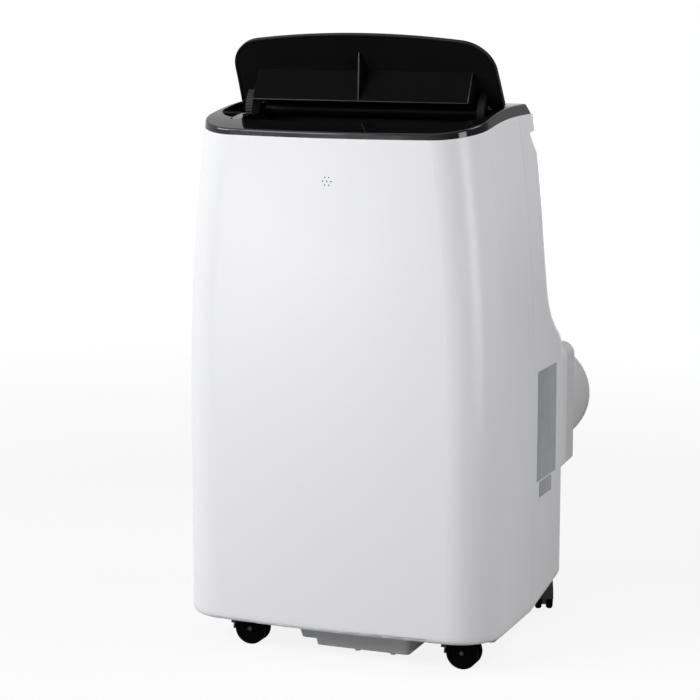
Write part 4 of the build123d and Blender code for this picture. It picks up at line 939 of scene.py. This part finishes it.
@dataclass
class Studio:
    """Pale floor, soft lamps, white surround and the camera."""

    camera_place: Point = (1.1438, -3.0275, 0.9496)
    camera_turn: Point = (80.38, 0.0, 21.85)
    camera_lens: float = 114.69
    sensor: float = 36.0
    camera_far: float = 50.0
    floor_half: float = 6.0
    floor_tone: Pair = (0.26, 0.95)
    floor_roughness: float = 0.9
    glow_reach: Pair = (1.1, 2.6)
    glow_level: Pair = (0.87, 1.0)
    sky_level: Pair = (0.03, 1.0)
    mirror_level: Pair = (0.9, 0.15)
    dim_sky: Pair = (-0.5, 0.6)
    dim_floor: Pair = (-0.4, 1.4)
    lamps: tuple[Lamp, ...] = (
        Lamp("key_left", (-2.3, -1.7, 1.7), (0.0, -0.1, 0.46), 1.3, 1.4, 48.0),
        Lamp("key_front", (-1.6, -2.5, 2.1), (0.0, -0.1, 0.46), 1.3, 1.3, 33.0),
        Lamp("front_low", (-1.1, -2.55, 0.3), (0.0, -0.2, 0.1), 1.2, 0.4, 14.0),
        Lamp("right_strip", (1.25, -0.72, 0.66), (0.2, 0.0, 0.55), 0.4, 0.9, 6.3),
        Lamp("right_high", (1.2, 0.2, 1.9), (0.2, 0.0, 0.6), 0.8, 0.8, 10.0),
        Lamp("back_fill", (-0.4, 2.9, 0.45), (0.0, 0.1, 0.45), 1.6, 0.5, 16.0),
    )

    def build(self) -> None:
        """Makes the studio and sets the view transform."""
        bpy.context.scene.view_settings.view_transform = "Standard"
        self.floor()
        self.world()
        for lamp in self.lamps:
            self.light(lamp)
        self.camera()

    def floor(self) -> None:
        """Plain pale floor, white far off, that keeps the contact shadow near by."""
        deselect()
        bpy.ops.mesh.primitive_plane_add(size=self.floor_half * 2, location=(0, 0, 0))
        ground = settle("studio_floor")
        material, sheet, shader = blank_material("studio_floor_white")
        place = sheet.add("ShaderNodeTexCoord", (-1300, -100))
        seen = self.seen(sheet, self.mirror_share(sheet, place.outputs["Object"], self.dim_floor))
        sheet.join(mapped(sheet, seen, MASK_REACH, self.floor_tone), shader.inputs["Base Color"])
        shader.inputs["Roughness"].default_value = self.floor_roughness
        shader.inputs["Specular IOR Level"].default_value = 0.0
        reach = sheet.math("LENGTH", (-500, -100), vector=True)
        sheet.join(place.outputs["Object"], reach.inputs[0])
        fade = mapped(sheet, reach.outputs["Value"], self.glow_reach, self.glow_level)
        share = sheet.math("MULTIPLY", (100, 200))
        sheet.join(seen, share.inputs[0])
        sheet.join(fade, share.inputs[1])
        glow = sheet.add("ShaderNodeEmission", (0, -300), Strength=1.0)
        blend = sheet.add("ShaderNodeMixShader", (300, 0))
        output = material.node_tree.nodes["Material Output"]
        sheet.join(share.outputs["Value"], blend.inputs["Fac"])
        sheet.join(shader.outputs["BSDF"], blend.inputs[1])
        sheet.join(glow.outputs["Emission"], blend.inputs[2])
        sheet.join(blend.outputs["Shader"], output.inputs["Surface"])
        ground.data.materials.append(material)

    def seen(self, sheet: Wiring, mirrored: bpy.types.NodeSocket) -> bpy.types.NodeSocket:
        """Mask of the rays that see the surround directly or in a reflection.

        Args:
            sheet: wiring of the material or the world.
            mirrored: how bright the surround stands in reflections.

        Returns:
            The mask output.
        """
        path = sheet.add("ShaderNodeLightPath", (-700, 300))
        shine = sheet.math("MULTIPLY", (-430, 300))
        first = sheet.math("MAXIMUM", (-250, 300))
        second = sheet.math("MAXIMUM", (-80, 300))
        sheet.join(path.outputs["Is Glossy Ray"], shine.inputs[0])
        sheet.join(mirrored, shine.inputs[1])
        sheet.join(path.outputs["Is Camera Ray"], first.inputs[0])
        sheet.join(shine.outputs["Value"], first.inputs[1])
        sheet.join(first.outputs["Value"], second.inputs[0])
        sheet.join(path.outputs["Is Transmission Ray"], second.inputs[1])
        return second.outputs["Value"]

    def mirror_share(self, sheet: Wiring, place: bpy.types.NodeSocket, reach: Pair) -> bpy.types.NodeSocket:
        """Share of white that a reflection finds: pale on the left, dim on the unlit right.

        Args:
            sheet: wiring of the material or the world.
            place: direction or position.
            reach: x values between which the share falls.

        Returns:
            The share output.
        """
        axes = sheet.add("ShaderNodeSeparateXYZ", (-1100, 100))
        sheet.join(place, axes.inputs["Vector"])
        return mapped(sheet, axes.outputs["X"], reach, self.mirror_level)

    def world(self) -> None:
        """White surround for the camera and reflections, dimmer as a lamp."""
        world = bpy.data.worlds.new("studio_surround")
        world.use_nodes = True
        bpy.context.scene.world = world
        sheet = Wiring(world.node_tree)
        back = world.node_tree.nodes["Background"]
        back.inputs["Color"].default_value = (1.0, 1.0, 1.0, 1.0)
        place = sheet.add("ShaderNodeTexCoord", (-1300, 100))
        seen = self.seen(sheet, self.mirror_share(sheet, place.outputs["Generated"], self.dim_sky))
        sheet.join(mapped(sheet, seen, MASK_REACH, self.sky_level), back.inputs["Strength"])

    def light(self, lamp: Lamp) -> None:
        """Hangs one lamp and turns it to its aim.

        Args:
            lamp: its place, aim, size and power.
        """
        deselect()
        bpy.ops.object.light_add(type="AREA", location=lamp.place)
        light = bpy.context.object
        light.name = lamp.name
        light.data.name = lamp.name
        light.data.shape = "RECTANGLE"
        light.data.size = lamp.width
        light.data.size_y = lamp.height
        light.data.energy = lamp.power
        light.rotation_euler = (Vector(lamp.aim) - Vector(lamp.place)).to_track_quat("-Z", "Y").to_euler()

    def camera(self) -> None:
        """Camera at the photograph's place and angle."""
        deselect()
        bpy.ops.object.camera_add(location=self.camera_place)
        camera = bpy.context.object
        camera.name = "photo_camera"
        camera.rotation_euler = tuple(radians(angle) for angle in self.camera_turn)
        camera.data.lens = self.camera_lens
        camera.data.sensor_width = self.sensor
        camera.data.clip_end = self.camera_far
        bpy.context.scene.camera = camera


def main() -> None:
    """Builds every sub-assembly in order, then the studio."""
    logging.basicConfig(level=logging.INFO)
    for part in (Cabinet(), TopDeck(), Controls(), RunningGear(), InnerWorks(), Studio()):
        LOG.info("building %s", type(part).__name__)
        part.build()


if __name__ == "__main__":
    main()
